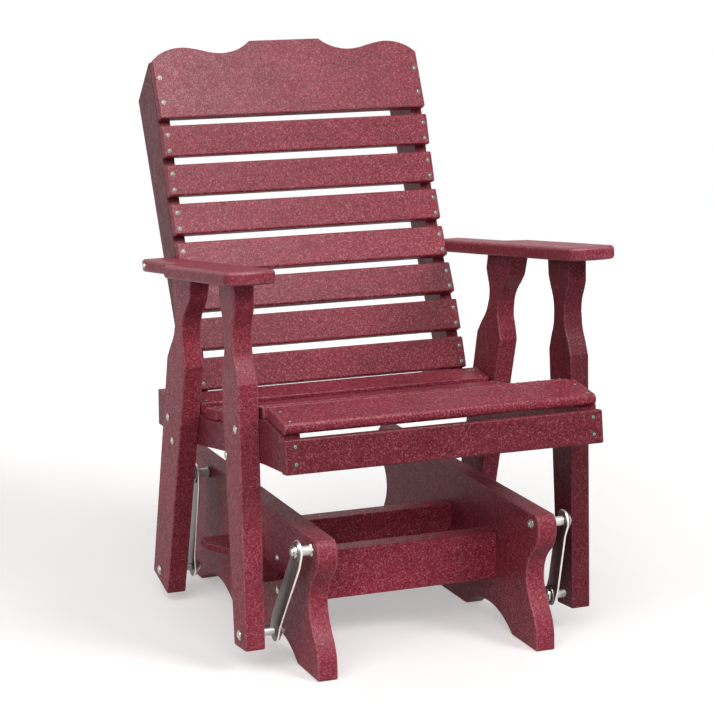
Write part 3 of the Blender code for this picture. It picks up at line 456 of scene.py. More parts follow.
def arm_outline(side):
    """Arm from above: bowed front, wide body and a narrow tail."""
    inner, outer, tail = ARM_INNER_X, ARM_HALF_REACH, ARM_INNER_X + ARM_TAIL_WIDTH
    front = arc_line((outer - ARM_CORNER, ARM_BOW), (inner + ARM_CORNER, ARM_BOW), ARM_BOW, ARC_STEPS // 2)
    points = front + [
        (inner, ARM_CORNER + ARM_BOW), (inner, ARM_LENGTH), (tail, ARM_LENGTH),
        (tail, ARM_BODY_LENGTH + ARM_HALF_REACH - tail), (outer, ARM_BODY_LENGTH),
        (outer, ARM_CORNER + ARM_BOW)]
    return [Vector((side * point[0], point[1])) for point in points]


def guide_outline(side):
    """Bow-tie guide plate from above."""
    middle_y = (FRONT_PIVOT_Y + REAR_PIVOT_Y) / 2
    half = GUIDE_LENGTH / 2
    inner = STAND_HALF_WIDTH + FIT_GAP
    rear = [(inner, half), (inner + GUIDE_REACH, half), (inner + GUIDE_REACH, half - GUIDE_EAR),
            (inner + GUIDE_WAIST, half - GUIDE_EAR - GUIDE_TAPER)]
    outline = [Vector((side * x, middle_y + y)) for x, y in rear]
    return outline + [Vector((side * x, middle_y - y)) for x, y in reversed(rear)]


# Solids

def triples(outline):
    """Each point of a closed line, between the one before it and the one after it."""
    return zip(outline[-1:] + outline[:-1], outline, outline[1:] + outline[:1])


def inset_outline(outline, inset):
    """The same outline pushed inward, or outward where inset is below zero."""
    twice_area = sum(here.x * after.y - after.x * here.y for before, here, after in triples(outline))
    turn = 1 if twice_area > 0 else -1
    line = []
    for before, here, after in triples(outline):
        first = square_to((here - before).normalized()) * turn
        second = square_to((after - here).normalized()) * turn
        mean = (first + second).normalized()
        line.append(here + mean * inset / max(MITRE_LIMIT, mean.dot(first)))
    return line


def round_corners(outline, radii, steps):
    """The outline with its sharp corners turned into arcs. radii is one radius, or a list for all points."""
    count = len(outline)
    cuts = {}
    for index, (before, here, after) in enumerate(triples(outline)):
        turn = (here - before).angle(after - here)
        radius = radii[index] if isinstance(radii, list) else radii
        if turn >= SHARP_TURN:
            cuts[index] = radius * math.tan(turn / 2)

    def walk(index, step, reach):
        """Point at a distance along the line from a corner, and the points that it passes."""
        here, passed = outline[index], []
        while True:
            following = (index + step * (len(passed) + 1)) % count
            way = outline[following] - here
            share = 0.5 if following in cuts else 1.0
            if reach <= way.length * share or following in cuts:
                return here + way.normalized() * min(reach, way.length * share * LEG_SHARE), passed
            reach -= way.length
            here = outline[following]
            passed.append(following)

    dropped, arcs = set(), {}
    for index, reach in cuts.items():
        corner = outline[index]
        start, back = walk(index, -1, reach)
        end, ahead = walk(index, 1, reach)
        dropped.update(back + ahead)
        weight = math.cos((corner - start).angle(end - corner) / 2)
        arcs[index] = []
        for step in range(steps + 1):
            t = step / steps
            shares = ((1 - t) ** 2, 2 * t * (1 - t) * weight, t * t)
            point = start * shares[0] + corner * shares[1] + end * shares[2]
            arcs[index].append(point / sum(shares))
    line = []
    for index, point in enumerate(outline):
        if index in arcs:
            line += arcs[index]
        elif index not in dropped:
            line.append(point)
    return line


def mesh_from(shape, name, outward=True):
    """Mesh made of a bmesh, with its faces turned outward where that is asked for."""
    if outward:
        bmesh.ops.recalc_face_normals(shape, faces=shape.faces)
    mesh = bpy.data.meshes.new(name)
    shape.to_mesh(mesh)
    shape.free()
    return mesh


def join_rings(shape, rings, material=0):
    """Band of faces between each ring of points and the next."""
    for low, high in zip(rings, rings[1:]):
        for index in range(len(low)):
            after = (index + 1) % len(low)
            face = shape.faces.new((low[index], low[after], high[after], high[index]))
            face.material_index = material


def board_mesh(name, outline, thickness, rim, steps=4, cut_ends=False):
    """Board with both rims rounded. The saw cut its edges, or with cut_ends its two ends."""
    levels = []
    for step in range(steps + 1):
        angle = math.pi / 2 * step / steps
        levels.append((rim * (1 - math.sin(angle)), thickness / 2 - rim * (1 - math.cos(angle)),
                       math.sin(angle), math.sin(2 * angle)))
    levels += [(inset, -height, side, edge) for inset, height, side, edge in reversed(levels)]
    shape = bmesh.new()
    cut = shape.verts.layers.float.new("cut")
    wear_and_sheen = shape.verts.layers.float.new("wear_and_sheen")
    rings = []
    for inset, height, side, edge in levels:
        rings.append([shape.verts.new((point.x, point.y, height))
                      for point in inset_outline(outline, inset)])
        for vert in rings[-1]:
            vert[cut] = 1 - side if cut_ends else side
            # Peaks midway round each rim, where edge wear and a painted highlight go
            vert[wear_and_sheen] = edge
    join_rings(shape, rings)
    shape.faces.new(rings[0])
    shape.faces.new(list(reversed(rings[-1])))
    return mesh_from(shape, name)


def turned_mesh(name, profile, sides=32):
    """Solid turned about local Z from (radius, height) points."""
    shape = bmesh.new()
    rings = []
    for radius, height in profile:
        turns = [2 * math.pi * step / sides for step in range(sides)] if radius > 0 else [0.0]
        rings.append([shape.verts.new((radius * math.cos(turn), radius * math.sin(turn), height))
                      for turn in turns])
    loops = list(zip(rings, rings[1:]))
    if len(rings[0]) > 1 and len(rings[-1]) > 1:
        loops.append((rings[-1], rings[0]))
    for low, high in loops:
        for step in range(sides):
            after = (step + 1) % sides
            corners = [low[step % len(low)], low[after % len(low)],
                       high[after % len(high)], high[step % len(high)]]
            shape.faces.new([vert for place, vert in enumerate(corners) if vert not in corners[:place]])
    return mesh_from(shape, name)


def ring_mesh(name, outer, inner, top, bottom=0.0, sides=32):
    """Plain ring about local Z."""
    return turned_mesh(name, [(outer, top), (outer, bottom), (inner, bottom), (inner, top)], sides)


def joined_mesh(name, parts):
    """One mesh from (mesh, place, material index) parts."""
    joined = bmesh.new()
    for mesh, place, index in parts:
        copy = mesh.copy()
        copy.transform(place)
        for face in copy.polygons:
            face.material_index = index
        joined.from_mesh(copy)
        bpy.data.meshes.remove(copy)
    return mesh_from(joined, name, False)


def add_object(name, data):
    """Object linked to the scene."""
    item = bpy.data.objects.new(name, data)
    bpy.context.scene.collection.objects.link(item)
    return item


def add_piece(name, mesh, place, materials, body, nodes=(), sharp=None):
    """Piece of the looks, placed in the frame, riding on a body and standing for its nodes.
    sharp is the angle in degrees from which its edges stay hard."""
    item = add_object(name, mesh)
    item.matrix_world = TO_FRAME @ place
    for material in materials:
        mesh.materials.append(material)
    mesh.shade_smooth()
    if sharp is None:
        item.modifiers.new("even_normals", "WEIGHTED_NORMAL").weight = NORMAL_WEIGHT
    else:
        mesh.set_sharp_from_angle(angle=math.radians(sharp))
    # Board colour scale: partly tone by board, partly painted shade and painted light
    item.color = grey(BOARD_TONE_AND_PAINTED_LIGHT.get(nodes[0], 1.0) if nodes else 1.0)
    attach(item, body)
    if nodes:
        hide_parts(*nodes)
    return item


def add_board(node, outline, corner, thickness, rim, place, axis, body="seat", arc=5, steps=4, name=None):
    """Lumber board that stands for its node. It runs along a local axis. Along z, the saw cut its ends."""
    mesh = board_mesh(node, round_corners(outline, corner, arc), thickness, rim, steps, axis == "z")
    return add_piece(name or "board_" + node, mesh, place, [LUMBER[axis]], body, [node])


def add_fitting(name, parts, materials, body, nodes=(), sharp=FITTING_SHARP):
    """Metal piece of several solids that are in place already."""
    add_piece(name, joined_mesh(name, parts), Matrix.Identity(4), materials, body, nodes, sharp)


def side_place(outer_x, thickness, side):
    """Place of a board that stands in the side view, with its outer face at outer_x."""
    return Matrix.Translation((side * (outer_x - thickness / 2), 0.0, 0.0)) @ SIDE_VIEW


def lifted(height):
    """Place at a height on local Z."""
    return Matrix.Translation((0.0, 0.0, height))


def along_x(x, y, z, towards):
    """Place for a solid whose local Z points along X."""
    return Matrix.Translation((x, y, z)) @ Matrix.Rotation(towards * math.pi / 2, 4, "Y")


def facing(x, point, normal):
    """Place on a sloping face, with local Z along the face's normal in the side view."""
    turn = Matrix.Rotation(math.atan2(normal.x, normal.y), 4, "X").inverted()
    return Matrix.Translation((x, point.x, point.y)) @ turn


# Materials

def grey(value):
    """Grey as a colour."""
    return (value, value, value, 1.0)


def add_node(tree, kind, sockets=(), **settings):
    """Node with its settings, and its input sockets linked or set."""
    node = tree.nodes.new(kind)
    for name, value in settings.items():
        setattr(node, name, value)
    for key, value in dict(sockets).items():
        if isinstance(value, bpy.types.NodeSocket):
            tree.links.new(value, node.inputs[key])
        else:
            node.inputs[key].default_value = value
    return node


def empty_tree(owner):
    """Node tree of a material or a world, with nothing in it."""
    owner.use_nodes = True
    owner.node_tree.nodes.clear()
    return owner.node_tree


def finish_material(tree, sockets):
    """Principled shader and the material's output."""
    shader = add_node(tree, "ShaderNodeBsdfPrincipled", sockets)
    add_node(tree, "ShaderNodeOutputMaterial", {"Surface": shader.outputs["BSDF"]})


def mix(tree, blend, amount, first, second):
    """Colour mix; amount, first and second are sockets or values."""
    return add_node(tree, "ShaderNodeMix", {0: amount, 6: first, 7: second}, data_type="RGBA",
                    blend_type=blend, clamp_factor=True).outputs[2]


def ramp(tree, source, *stops):
    """Colour ramp. Each stop is a position and a colour or grey value."""
    node = add_node(tree, "ShaderNodeValToRGB", {"Fac": source})
    elements = node.color_ramp.elements
    stops = [(place, grey(look) if isinstance(look, float) else look) for place, look in stops]
    elements[0].position, elements[0].color = stops[0]
    elements[1].position, elements[1].color = stops[-1]
    for position, colour in stops[1:-1]:
        elements.new(position).color = colour
    return node.outputs["Color"]


def noise(tree, vector, scale, detail, rough, distortion=0.0):
    """Noise texture's value."""
    return add_node(tree, "ShaderNodeTexNoise", {
        "Vector": vector, "Scale": scale, "Detail": detail, "Roughness": rough,
        "Distortion": distortion}).outputs["Fac"]


def cells(tree, vector, scale):
    """Voronoi texture's outputs."""
    return add_node(tree, "ShaderNodeTexVoronoi", {"Vector": vector, "Scale": scale}).outputs


def object_space(tree, stretch):
    """Object coordinates, plain and stretched, shifted so that no two boards look alike."""
    source = add_node(tree, "ShaderNodeTexCoord").outputs["Object"]
    place = add_node(tree, "ShaderNodeObjectInfo").outputs["Location"]
    space = add_node(tree, "ShaderNodeVectorMath", {0: place, 1: BOARD_SHIFT, 2: source},
                     operation="MULTIPLY_ADD").outputs["Vector"]
    return space, add_node(tree, "ShaderNodeVectorMath", {0: space, 1: stretch},
                           operation="MULTIPLY").outputs["Vector"]


def attribute(tree, name):
    """Value that the mesh carries at its points."""
    return add_node(tree, "ShaderNodeAttribute", attribute_name=name).outputs["Fac"]


def number(tree, operation, first, second):
    """Math node's value."""
    return add_node(tree, "ShaderNodeMath", {0: first, 1: second}, operation=operation).outputs["Value"]


def bump(tree, height, distance, strength):
    """Normal with a bump."""
    return add_node(tree, "ShaderNodeBump", {
        "Height": height, "Distance": distance, "Strength": strength}).outputs["Normal"]


def lumber_material(name, stretch):
    """Speckled plastic lumber. stretch is small along the board, so that its flow lines run that way."""
    material = bpy.data.materials.new(name)
    tree = empty_tree(material)
    space, along = object_space(tree, stretch)
    colour = ramp(tree, noise(tree, space, 330.0, 2.0, 0.8),
                  (0.34, LUMBER_DARK), (0.50, LUMBER_MID), (0.68, LUMBER_LIGHT))
    chance = add_node(tree, "ShaderNodeSeparateColor", {"Color": cells(tree, space, 430.0)["Color"]})
    flakes = ramp(tree, chance.outputs["Red"], (0.0, LUMBER_DARK), (0.32, LUMBER_MID),
                  (0.68, LUMBER_MID), (0.88, LUMBER_LIGHT), (1.0, FLECK_LIGHT))
    clouds = ramp(tree, noise(tree, space, 9.0, 3.0, 0.55), (0.32, 0.88), (0.68, 1.12))
    flow = ramp(tree, noise(tree, along, 1.0, 2.0, 0.5), (0.35, 0.90), (0.65, 1.10))
    specks = ramp(tree, cells(tree, space, 260.0)["Distance"], (0.12, 1.0), (0.26, 0.0))
    scatter = ramp(tree, noise(tree, space, 90.0, 1.0, 0.4), (0.46, 0.0), (0.60, 0.42))
    pits = ramp(tree, noise(tree, space, 210.0, 1.0, 0.3), (0.66, 0.0), (0.74, 0.55))
    marks = noise(tree, space, 95.0, 3.0, 0.7, 0.6)
    cut = number(tree, "MULTIPLY", attribute(tree, "cut"), ramp(tree, marks, (0.42, 0.08), (0.66, 0.50)))
    # Edge wear and painted highlight on the rims, broken up by marks
    wear_and_sheen = number(tree, "MULTIPLY", attribute(tree, "wear_and_sheen"), ramp(tree, marks, (0.36, 0.14), (0.68, 0.70)))
    # Each board's colour scale: tone that differs by board, with painted shade and painted light
    shade = add_node(tree, "ShaderNodeObjectInfo").outputs["Color"]
    for blend, amount, layer in (
            ("MIX", 0.52, flakes), ("MULTIPLY", 0.7, clouds), ("MULTIPLY", 0.6, flow),
            ("MIX", mix(tree, "MULTIPLY", 1.0, specks, scatter), FLECK_LIGHT),
            ("MIX", pits, FLECK_DARK), ("MIX", cut, CUT_COLOUR), ("MIX", wear_and_sheen, WEAR_AND_SHEEN_COLOUR),
            ("MULTIPLY", 1.0, shade)):
        colour = mix(tree, blend, amount, colour, layer)
    rough = ramp(tree, noise(tree, space, 60.0, 3.0, 0.6), (0.30, 0.36), (0.70, 0.52))
    relief = mix(tree, "ADD", 0.5, noise(tree, space, 420.0, 2.0, 0.6), noise(tree, space, 110.0, 2.0, 0.5))
    finish_material(tree, {
        "Base Color": colour, "Roughness": mix(tree, "MIX", cut, rough, grey(CUT_ROUGHNESS)),
        "Specular IOR Level": LUMBER_SPECULAR, "Normal": bump(tree, relief, LUMBER_RELIEF, 0.5)})
    return material


def metal_material(name, dark, light, rough, metallic=1.0, scale=420.0, stretch=(1.0, 1.0, 1.0)):
    """Plated metal with a faint mottle. rough holds the lowest and the highest roughness."""
    material = bpy.data.materials.new(name)
    tree = empty_tree(material)
    space, along = object_space(tree, stretch)
    mottle = noise(tree, along, scale, 3.0, 0.6)
    colour = ramp(tree, mottle, (0.34, (*dark, 1.0)), (0.66, (*light, 1.0)))
    bloom = ramp(tree, noise(tree, space, 90.0, 2.0, 0.5), (0.35, 0.82), (0.65, 1.05))
    finish_material(tree, {
        "Base Color": mix(tree, "MULTIPLY", 0.6, colour, bloom), "Metallic": metallic,
        "Roughness": ramp(tree, mottle, (0.3, rough[0]), (0.7, rough[1])),
        "Normal": bump(tree, mottle, METAL_RELIEF, 0.35)})
    return material


LUMBER = {along: lumber_material("lumber_along_" + along, tuple(
    FLOW_ALONG if axis == along else FLOW_ACROSS for axis in "xyz")) for along in "xyz"}
ZINC = metal_material("zinc_plate", (0.34, 0.33, 0.305), (0.62, 0.605, 0.565), (0.22, 0.40))
SLEEVE = metal_material("bright_sleeve", (0.72, 0.71, 0.68), (0.86, 0.85, 0.82), (0.30, 0.46), 0.25)
EDGE = metal_material("strap_edge", (0.82, 0.79, 0.72), (0.95, 0.92, 0.86), (0.28, 0.44))
STRAP = metal_material("strap_steel", (0.15, 0.138, 0.125), (0.26, 0.243, 0.222), (0.34, 0.50),
                       scale=300.0, stretch=(1.0, 1.0, 0.08))
SCREW = metal_material("screw_plate", (0.20, 0.19, 0.165), (0.36, 0.345, 0.305), (0.42, 0.58), 0.08)
# Near-black metal as painted shadow: bearings' races and rivets, screws' sockets and the rings round their
# heads
PAINTED_SHADOW = metal_material("race_shadow", (0.030, 0.026, 0.024), (0.085, 0.078, 0.072), (0.40, 0.60))


# Stand

def dress_stand():
    """Side panels, cross rails and guide plates."""
    for word, side in SIDES:
        add_board(word + "_side_panel", panel_outline(), BOARD_CORNER, FRAME_BOARD, EASED,
                  side_place(STAND_HALF_WIDTH, FRAME_BOARD, side), "x", "stand")
    low, high = CROSS_RAIL_BOTTOM_Z, CROSS_RAIL_BOTTOM_Z + CROSS_RAIL_HEIGHT
    for end, near in (("front", FRONT_RAIL_Y), ("rear", REAR_RAIL_Y)):
        far = near + CROSS_RAIL_DEPTH
        section = [Vector(point) for point in ((near, low), (far, low), (far, high), (near, high))]
        add_board(end + "_cross_rail", section, EASED, 2 * (PANEL_INNER_X - FIT_GAP), EASED / 2,
                  SIDE_VIEW, "z", "stand")
    for word, side in SIDES:
        add_board(word + "_guide_plate", guide_outline(side), EASED, GUIDE_BOARD, EASED / 2,
                  lifted(GUIDE_TOP_Z - GUIDE_BOARD / 2), "y", "stand")


# Fittings

def dome_profile(radius, height, steps=6):
    """Low domed head on a straight foot, from its crown down to its seat."""
    foot, dome = height * DOME_FOOT_SHARE, height * (1 - DOME_FOOT_SHARE)
    angles = [math.pi / 2 * step / steps for step in range(steps + 1)]
    line = [(radius * math.sin(angle), foot + dome * math.cos(angle)) for angle in angles]
    return line + [(radius, 0.0), (0.0, 0.0)]


def washer_mesh(radius, share, thickness):
    """Washer that reaches beyond a head by a share of the head's radius."""
    return ring_mesh("washer", radius * share, radius * WASHER_BORE_SHARE, thickness)


def screw_parts(place):
    """Truss-headed wood screw. A dark square on its crown and a dark ring round its head are painted shade
    of its socket and countersink.
    """
    head = turned_mesh("head", dome_profile(SCREW_RADIUS, SCREW_HEIGHT), 24)
    half = SOCKET_HALF
    socket = board_mesh("socket", [Vector(point) for point in (
        (-half, -half), (half, -half), (half, half), (-half, half))], SOCKET_DEPTH, SOCKET_RIM, 1)
    wide, narrow = (SCREW_RADIUS * share for share in SCREW_RING_SHARES)
    ring = ring_mesh("ring", wide, narrow, SCREW_RING_LIFT, -SCREW_RING_LIFT, 24)
    return [(head, place, 0), (socket, place @ lifted(SCREW_HEIGHT), 1), (ring, place, 1)]


def bolt_parts(place, radius, height):
    """Smooth domed bolt head on a thin washer."""
    head = turned_mesh("head", dome_profile(radius, height))
    return [(head, place, 0), (washer_mesh(radius, *BOLT_WASHER), place, 0)]


def nut_parts(place):
    """Hexagon nut on a washer with the thread's end showing. Local Z points away from its seat."""
    hexagon = [heading(math.pi * step / 3, NUT_RADIUS) for step in range(6)]
    nut = board_mesh("nut", hexagon, NUT_HEIGHT, NUT_HEIGHT * NUT_RIM_SHARE, 2)
    washer = washer_mesh(NUT_RADIUS, *NUT_WASHER)
    tip, shoulder = (NUT_HEIGHT + rise for rise in THREAD_RISES)
    end = turned_mesh("end", [(0.0, tip), (BOLT_RADIUS * THREAD_TIP_SHARE, tip),
                              (BOLT_RADIUS, shoulder), (BOLT_RADIUS, 0.0), (0.0, 0.0)], 20)
    return [(nut, place @ lifted(NUT_HEIGHT / 2), 0), (washer, place, 0), (end, place, 0)]


def pivot_parts(head_x, nut_x, y, z, side):
    """Pivot bolt with its nut, between the faces that its head and its nut sit on."""
    place = along_x(side * head_x, y, z, side)
    reach = nut_x - head_x
    shank = turned_mesh("shank", [(0.0, 0.0), (BOLT_RADIUS, 0.0), (BOLT_RADIUS, reach), (0.0, reach)], 24)
    head = bolt_parts(place, BOLT_HEAD_RADIUS * PIVOT_HEAD_SHARE, BOLT_HEAD_HEIGHT)
    return head + [(shank, place, 0)] + nut_parts(along_x(side * nut_x, y, z, -side))


def star_outline():
    """Star with a point at the top once it lies along X."""
    points = []
    for index in range(2 * STAR_POINTS):
        radius = STAR_RADIUS * (STAR_ROOT_SHARE if index % 2 else 1)
        angle = math.pi * index / STAR_POINTS
        points.append(Vector((-radius * math.cos(angle), radius * math.sin(angle))))
    return points


def dress_upper_pivots():
    """Bolts, nuts and star-collared sleeves that hang the links on the stand."""
    head_x = STRAP_TOP_X + STRAP_SHEET + BEARING_DEPTH + 2 * FIT_GAP
    half = UPPER_SPACER_LENGTH / 2
    radius, root, bore = UPPER_SPACER_RADIUS, STAR_THICKNESS - half, BOLT_RADIUS + FIT_GAP
    sleeve = turned_mesh("sleeve", [(radius, half - SLEEVE_SOFT), (radius, root), (bore, root),
                                    (bore, half), (radius - SLEEVE_SOFT, half)])
    star = board_mesh("star", round_corners(star_outline(), STAR_CORNER, 3), STAR_THICKNESS, STAR_RIM, 2)
    for end in ENDS:
        for word, side in SIDES:
            name = word + "_" + end + "_upper_pivot"
            parts = pivot_parts(head_x, PANEL_INNER_X - FIT_GAP, PIVOT_Y[end], PIVOT_Z, side)
            add_fitting("bolt_" + name, parts, [ZINC], "stand", [name + "_bolt"])
            place = along_x(side * (STAND_HALF_WIDTH + FIT_GAP + half), PIVOT_Y[end], PIVOT_Z, side)
            place = place @ Matrix.Rotation((1 - side) * math.pi / 2, 4, "Z")
            parts = [(sleeve, place, 0), (star, place @ lifted(STAR_THICKNESS / 2 - half), 0)]
            add_fitting("sleeve_" + name, parts, [SLEEVE], "stand", [name + "_spacer"])


def dress_lower_pivots():
    """Bolts, nuts and sleeves that hang the seat in the links."""
    nut_x = STRAP_FOOT_X - BEARING_DEPTH - 2 * FIT_GAP
    half = LOWER_SPACER_LENGTH / 2
    radius, bore, soft = LOWER_SPACER_RADIUS, BOLT_RADIUS + FIT_GAP, SLEEVE_SOFT
    sleeve = turned_mesh("sleeve", [
        (radius - soft, half), (radius, half - soft), (radius, soft - half),
        (radius - soft, -half), (bore, -half), (bore, half)])
    for end in ENDS:
        foot = FEET[end]
        for word, side in SIDES:
            name = word + "_" + end + "_lower_pivot"
            parts = pivot_parts(POST_OUTER_X + FIT_GAP, nut_x, foot.x, foot.y, side)
            add_fitting("bolt_" + name, parts, [ZINC], "seat", [name + "_bolt"])
            place = along_x(side * (STRAP_FOOT_X + STRAP_SHEET + FIT_GAP + half), foot.x, foot.y, side)
            add_fitting("sleeve_" + name, [(sleeve, place, 0)], [SLEEVE], "seat", [name + "_spacer"])


def strap_mesh(side):
    """Joggled strap with eased edges. Local Z runs up from the upper pivot."""
    radius = STRAP_WIDTH / 2
    bends = (-STRAP_FLAT, STRAP_FLAT - LINK_LENGTH)
    angles = [math.pi * step / STRAP_STEPS - math.pi / 2 for step in range(STRAP_STEPS + 1)]
    arc = [(radius * math.sin(angle), radius * math.cos(angle)) for angle in angles]
    line = arc + [(radius, bends[0]), (radius, bends[1])]
    line += [(-y, -LINK_LENGTH - z) for y, z in arc] + [(-radius, bends[1]), (-radius, bends[0])]

    def out(z):
        """How far the strap's inner face stands out at a height."""
        return STRAP_JOGGLE * min(1.0, max(0.0, (bends[0] - z) / (bends[0] - bends[1])))

    shape = bmesh.new()
    soft = STRAP_SHEET * SOFT_SHARE
    slight = soft * SOFT_SHARE
    levels = ((0.0, soft), (slight, slight), (soft, 0.0), (STRAP_SHEET - soft, 0.0),
              (STRAP_SHEET - slight, slight), (STRAP_SHEET, soft))
    rings = []
    for depth, inset in levels:
        ring = []
        for y, z in line:
            centre = 0.0 if z > -LINK_LENGTH / 2 else -LINK_LENGTH
            rounded = z > 0 or z < -LINK_LENGTH
            pull = Vector((y, z - centre if rounded else 0.0)).normalized() * inset
            ring.append(shape.verts.new((side * (out(z) + depth), y - pull.x, z - pull.y)))
        rings.append(ring)
    join_rings(shape, rings, 1)
    half = len(arc)
    for ring in (rings[0], rings[-1]):
        for corners in (ring[:half + 1] + [ring[-1]], ring[half:half + 2] + ring[-2:], ring[half + 1:-1]):
            shape.faces.new(corners)
    return mesh_from(shape, "strap")


def bearing_parts(place, play):
    """Pressed bearing: riveted flange, rolled hub, race and inner ring, or with play a wide
    bore in place of the ring. The race and the rivets are near-black as painted shadow. Its back is at local
    Z = 0."""
    flange, depth, hub, rim = BEARING_FLANGE, BEARING_DEPTH, BEARING_HUB_RADIUS, BEARING_RADIUS
    soft, slight = BEARING_SOFT, BEARING_SOFT * SOFT_SHARE
    bore = BOLT_RADIUS + FIT_GAP + play
    race_out, race_in = hub - HUB_WALL, bore if play else RACE_RADIUS
    plate = turned_mesh("plate", [
        (hub, flange), (rim - soft, flange), (rim - slight, flange - slight),
        (rim, flange - soft), (rim, 0.0), (hub, 0.0)], 48)
    shell = turned_mesh("shell", [
        (race_out, depth - soft), (race_out + soft * 0.6, depth), (hub - soft, depth),
        (hub - slight, depth - slight), (hub, depth - soft), (hub, 0.0), (race_out, 0.0)], 48)
    # The race is near-black, as painted shadow between the hub and the inner ring
    race = ring_mesh("race", race_out, race_in, depth - 2 * soft, sides=40)
    parts = [(plate, place, 2), (shell, place, 0), (race, place, 1)]
    if not play:
        parts.append((ring_mesh("inner", race_in, bore, depth - soft), place, 0))
    rivet = turned_mesh("rivet", dome_profile(RIVET_RADIUS, RIVET_HEIGHT), 20)
    # The rivets take the painted shadow colour
    for index in range(3):
        spot = heading(2 * math.pi * index / 3 + math.pi / 6, RIVET_CIRCLE)
        parts.append((rivet, place @ Matrix.Translation((spot.x, spot.y, flange)), 1))
    return parts


def dress_links():
    """Straps and their bearings."""
    for end in ENDS:
        y, foot = PIVOT_Y[end], FEET[end]
        swing = Matrix.Rotation(LINK_ANGLES[end], 4, "X")
        play = REAR_PLAY if end == "rear" else 0.0
        for word, side in SIDES:
            body = word + "_" + end + "_link"
            place = Matrix.Translation((side * STRAP_TOP_X, y, PIVOT_Z)) @ swing
            add_piece("strap_" + body, strap_mesh(side), place, [STRAP, EDGE], body,
                      [body + "_strap"], COARSE_SHARP)
            top_x = STRAP_TOP_X + STRAP_SHEET + FIT_GAP
            spot = along_x(side * top_x, y, PIVOT_Z, side)
            add_fitting("bearing_upper_" + body, bearing_parts(spot, 0.0), [ZINC, PAINTED_SHADOW, STRAP],
                        body, [body + "_upper_bearing"])
            spot = along_x(side * (STRAP_FOOT_X - FIT_GAP), foot.x, foot.y, -side)
            add_fitting("bearing_lower_" + body, bearing_parts(spot, play), [ZINC, PAINTED_SHADOW, STRAP],
                        body, [body + "_lower_bearing"])


# Seat

def dress_posts():
    """Front and rear posts."""
    for end in ENDS:
        for word, side in SIDES:
            add_board(word + "_" + end + "_post", post_outline(end), BOARD_CORNER, FRAME_BOARD,
                      EASED, side_place(POST_OUTER_X, FRAME_BOARD, side), "y")


def cut_housing(rail, upright, side):
    """Cuts the housing of a back upright into its side rail."""
    floor_x = BACK_HALF_WIDTH + FIT_GAP
    width = floor_x - RAIL_INNER_X + FRAME_BOARD / 2
    mesh = board_mesh("housing", inset_outline(upright, -FIT_GAP), width, HOUSING_RIM, 1)
    housing = add_object("housing", mesh)
    housing.matrix_world = TO_FRAME @ side_place(floor_x, width, side)
    pocket = rail.modifiers.new("pocket", "BOOLEAN")
    pocket.operation = "DIFFERENCE"
    pocket.object = housing
    pocket.solver = "EXACT"
    rail.modifiers.move(len(rail.modifiers) - 1, 0)
    bpy.context.view_layer.update()
    graph = bpy.context.evaluated_depsgraph_get()
    rail.data = bpy.data.meshes.new_from_object(rail.evaluated_get(graph))
    rail.modifiers.remove(pocket)
    bpy.data.objects.remove(housing)


def dress_rails_and_uprights():
    """Back uprights, and the side rails that house their feet."""
    upright = upright_outline()
    for word, side in SIDES:
        add_board(word + "_back_upright", upright, TIGHT_CORNER, UPRIGHT_BOARD, EASED / 2,
                  side_place(BACK_HALF_WIDTH, UPRIGHT_BOARD, side), "y")
        rail = add_board(word + "_seat_rail", rail_outline(), TIGHT_CORNER, FRAME_BOARD, EASED / 2,
                         side_place(SEAT_HALF_WIDTH, FRAME_BOARD, side), "x")
        cut_housing(rail, upright, side)


def slat_outline(corner, up, width, thickness):
    """Section of a cross board whose front face stands on a corner and runs up."""
    behind = -square_to(up) * thickness
    return [corner, corner + up * width, corner + up * width + behind, corner + behind]


def dress_slats():
    """Seat slats, back slats, apron and crest board."""
    for index, (corner, direction, depth) in enumerate(SEAT_PLACES):
        top = corner + square_to(direction) * SEAT_BOARD
        nose = EASED if index else NOSE_RADIUS
        add_board("seat_slat_%d" % (index + 1), slat_outline(top, direction, depth, SEAT_BOARD),
                  [nose, BOARD_CORNER, BOARD_CORNER, nose], 2 * (SEAT_HALF_WIDTH - SEAT_SLAT_INSET),
                  EASED, SIDE_VIEW, "z", arc=7)
    for index, (corner, up) in enumerate(BACK_PLACES[:-1]):
        add_board("back_slat_%d" % (index + 1), slat_outline(corner, up, BACK_SLAT_WIDTH, BACK_BOARD),
                  BOARD_CORNER, 2 * BACK_HALF_WIDTH, EASED, SIDE_VIEW, "z")
    add_board("seat_apron", slat_outline(APRON_FOOT, leaning(APRON_TILT), APRON_HEIGHT, APRON_BOARD),
              BOARD_CORNER, 2 * SEAT_HALF_WIDTH, EASED, SIDE_VIEW, "z")
    centre = CREST_FOOT - square_to(CREST_UP) * BACK_BOARD / 2
    lean = math.atan2(CREST_UP.x, CREST_UP.y)
    place = Matrix.Translation((0.0, centre.x, centre.y)) @ Matrix.Rotation(math.pi / 2 - lean, 4, "X")
    add_board("crest_board", crest_outline(), BOARD_CORNER, BACK_BOARD, EASED, place, "x",
              name="board_crest")


def dress_arms():
    """Arms, with rounder rims than the other boards."""
    rise = ARM_BOARD / 2 / math.cos(ARM_TILT)
    place = (Matrix.Translation((0.0, ARM_FRONT_Y, ARM_FRONT_Z + rise))
             @ Matrix.Rotation(-ARM_TILT, 4, "X"))
    for word, side in SIDES:
        outline = arm_outline(side)
        radii = [ARM_NOSE if point.y < ARM_CORNER + 2 * ARM_BOW else 1.2 * ARM_ROUND for point in outline]
        add_board(word + "_arm", outline, radii, ARM_BOARD, ARM_ROUND, place, "y", arc=8, steps=6)


# Screws and frame bolts

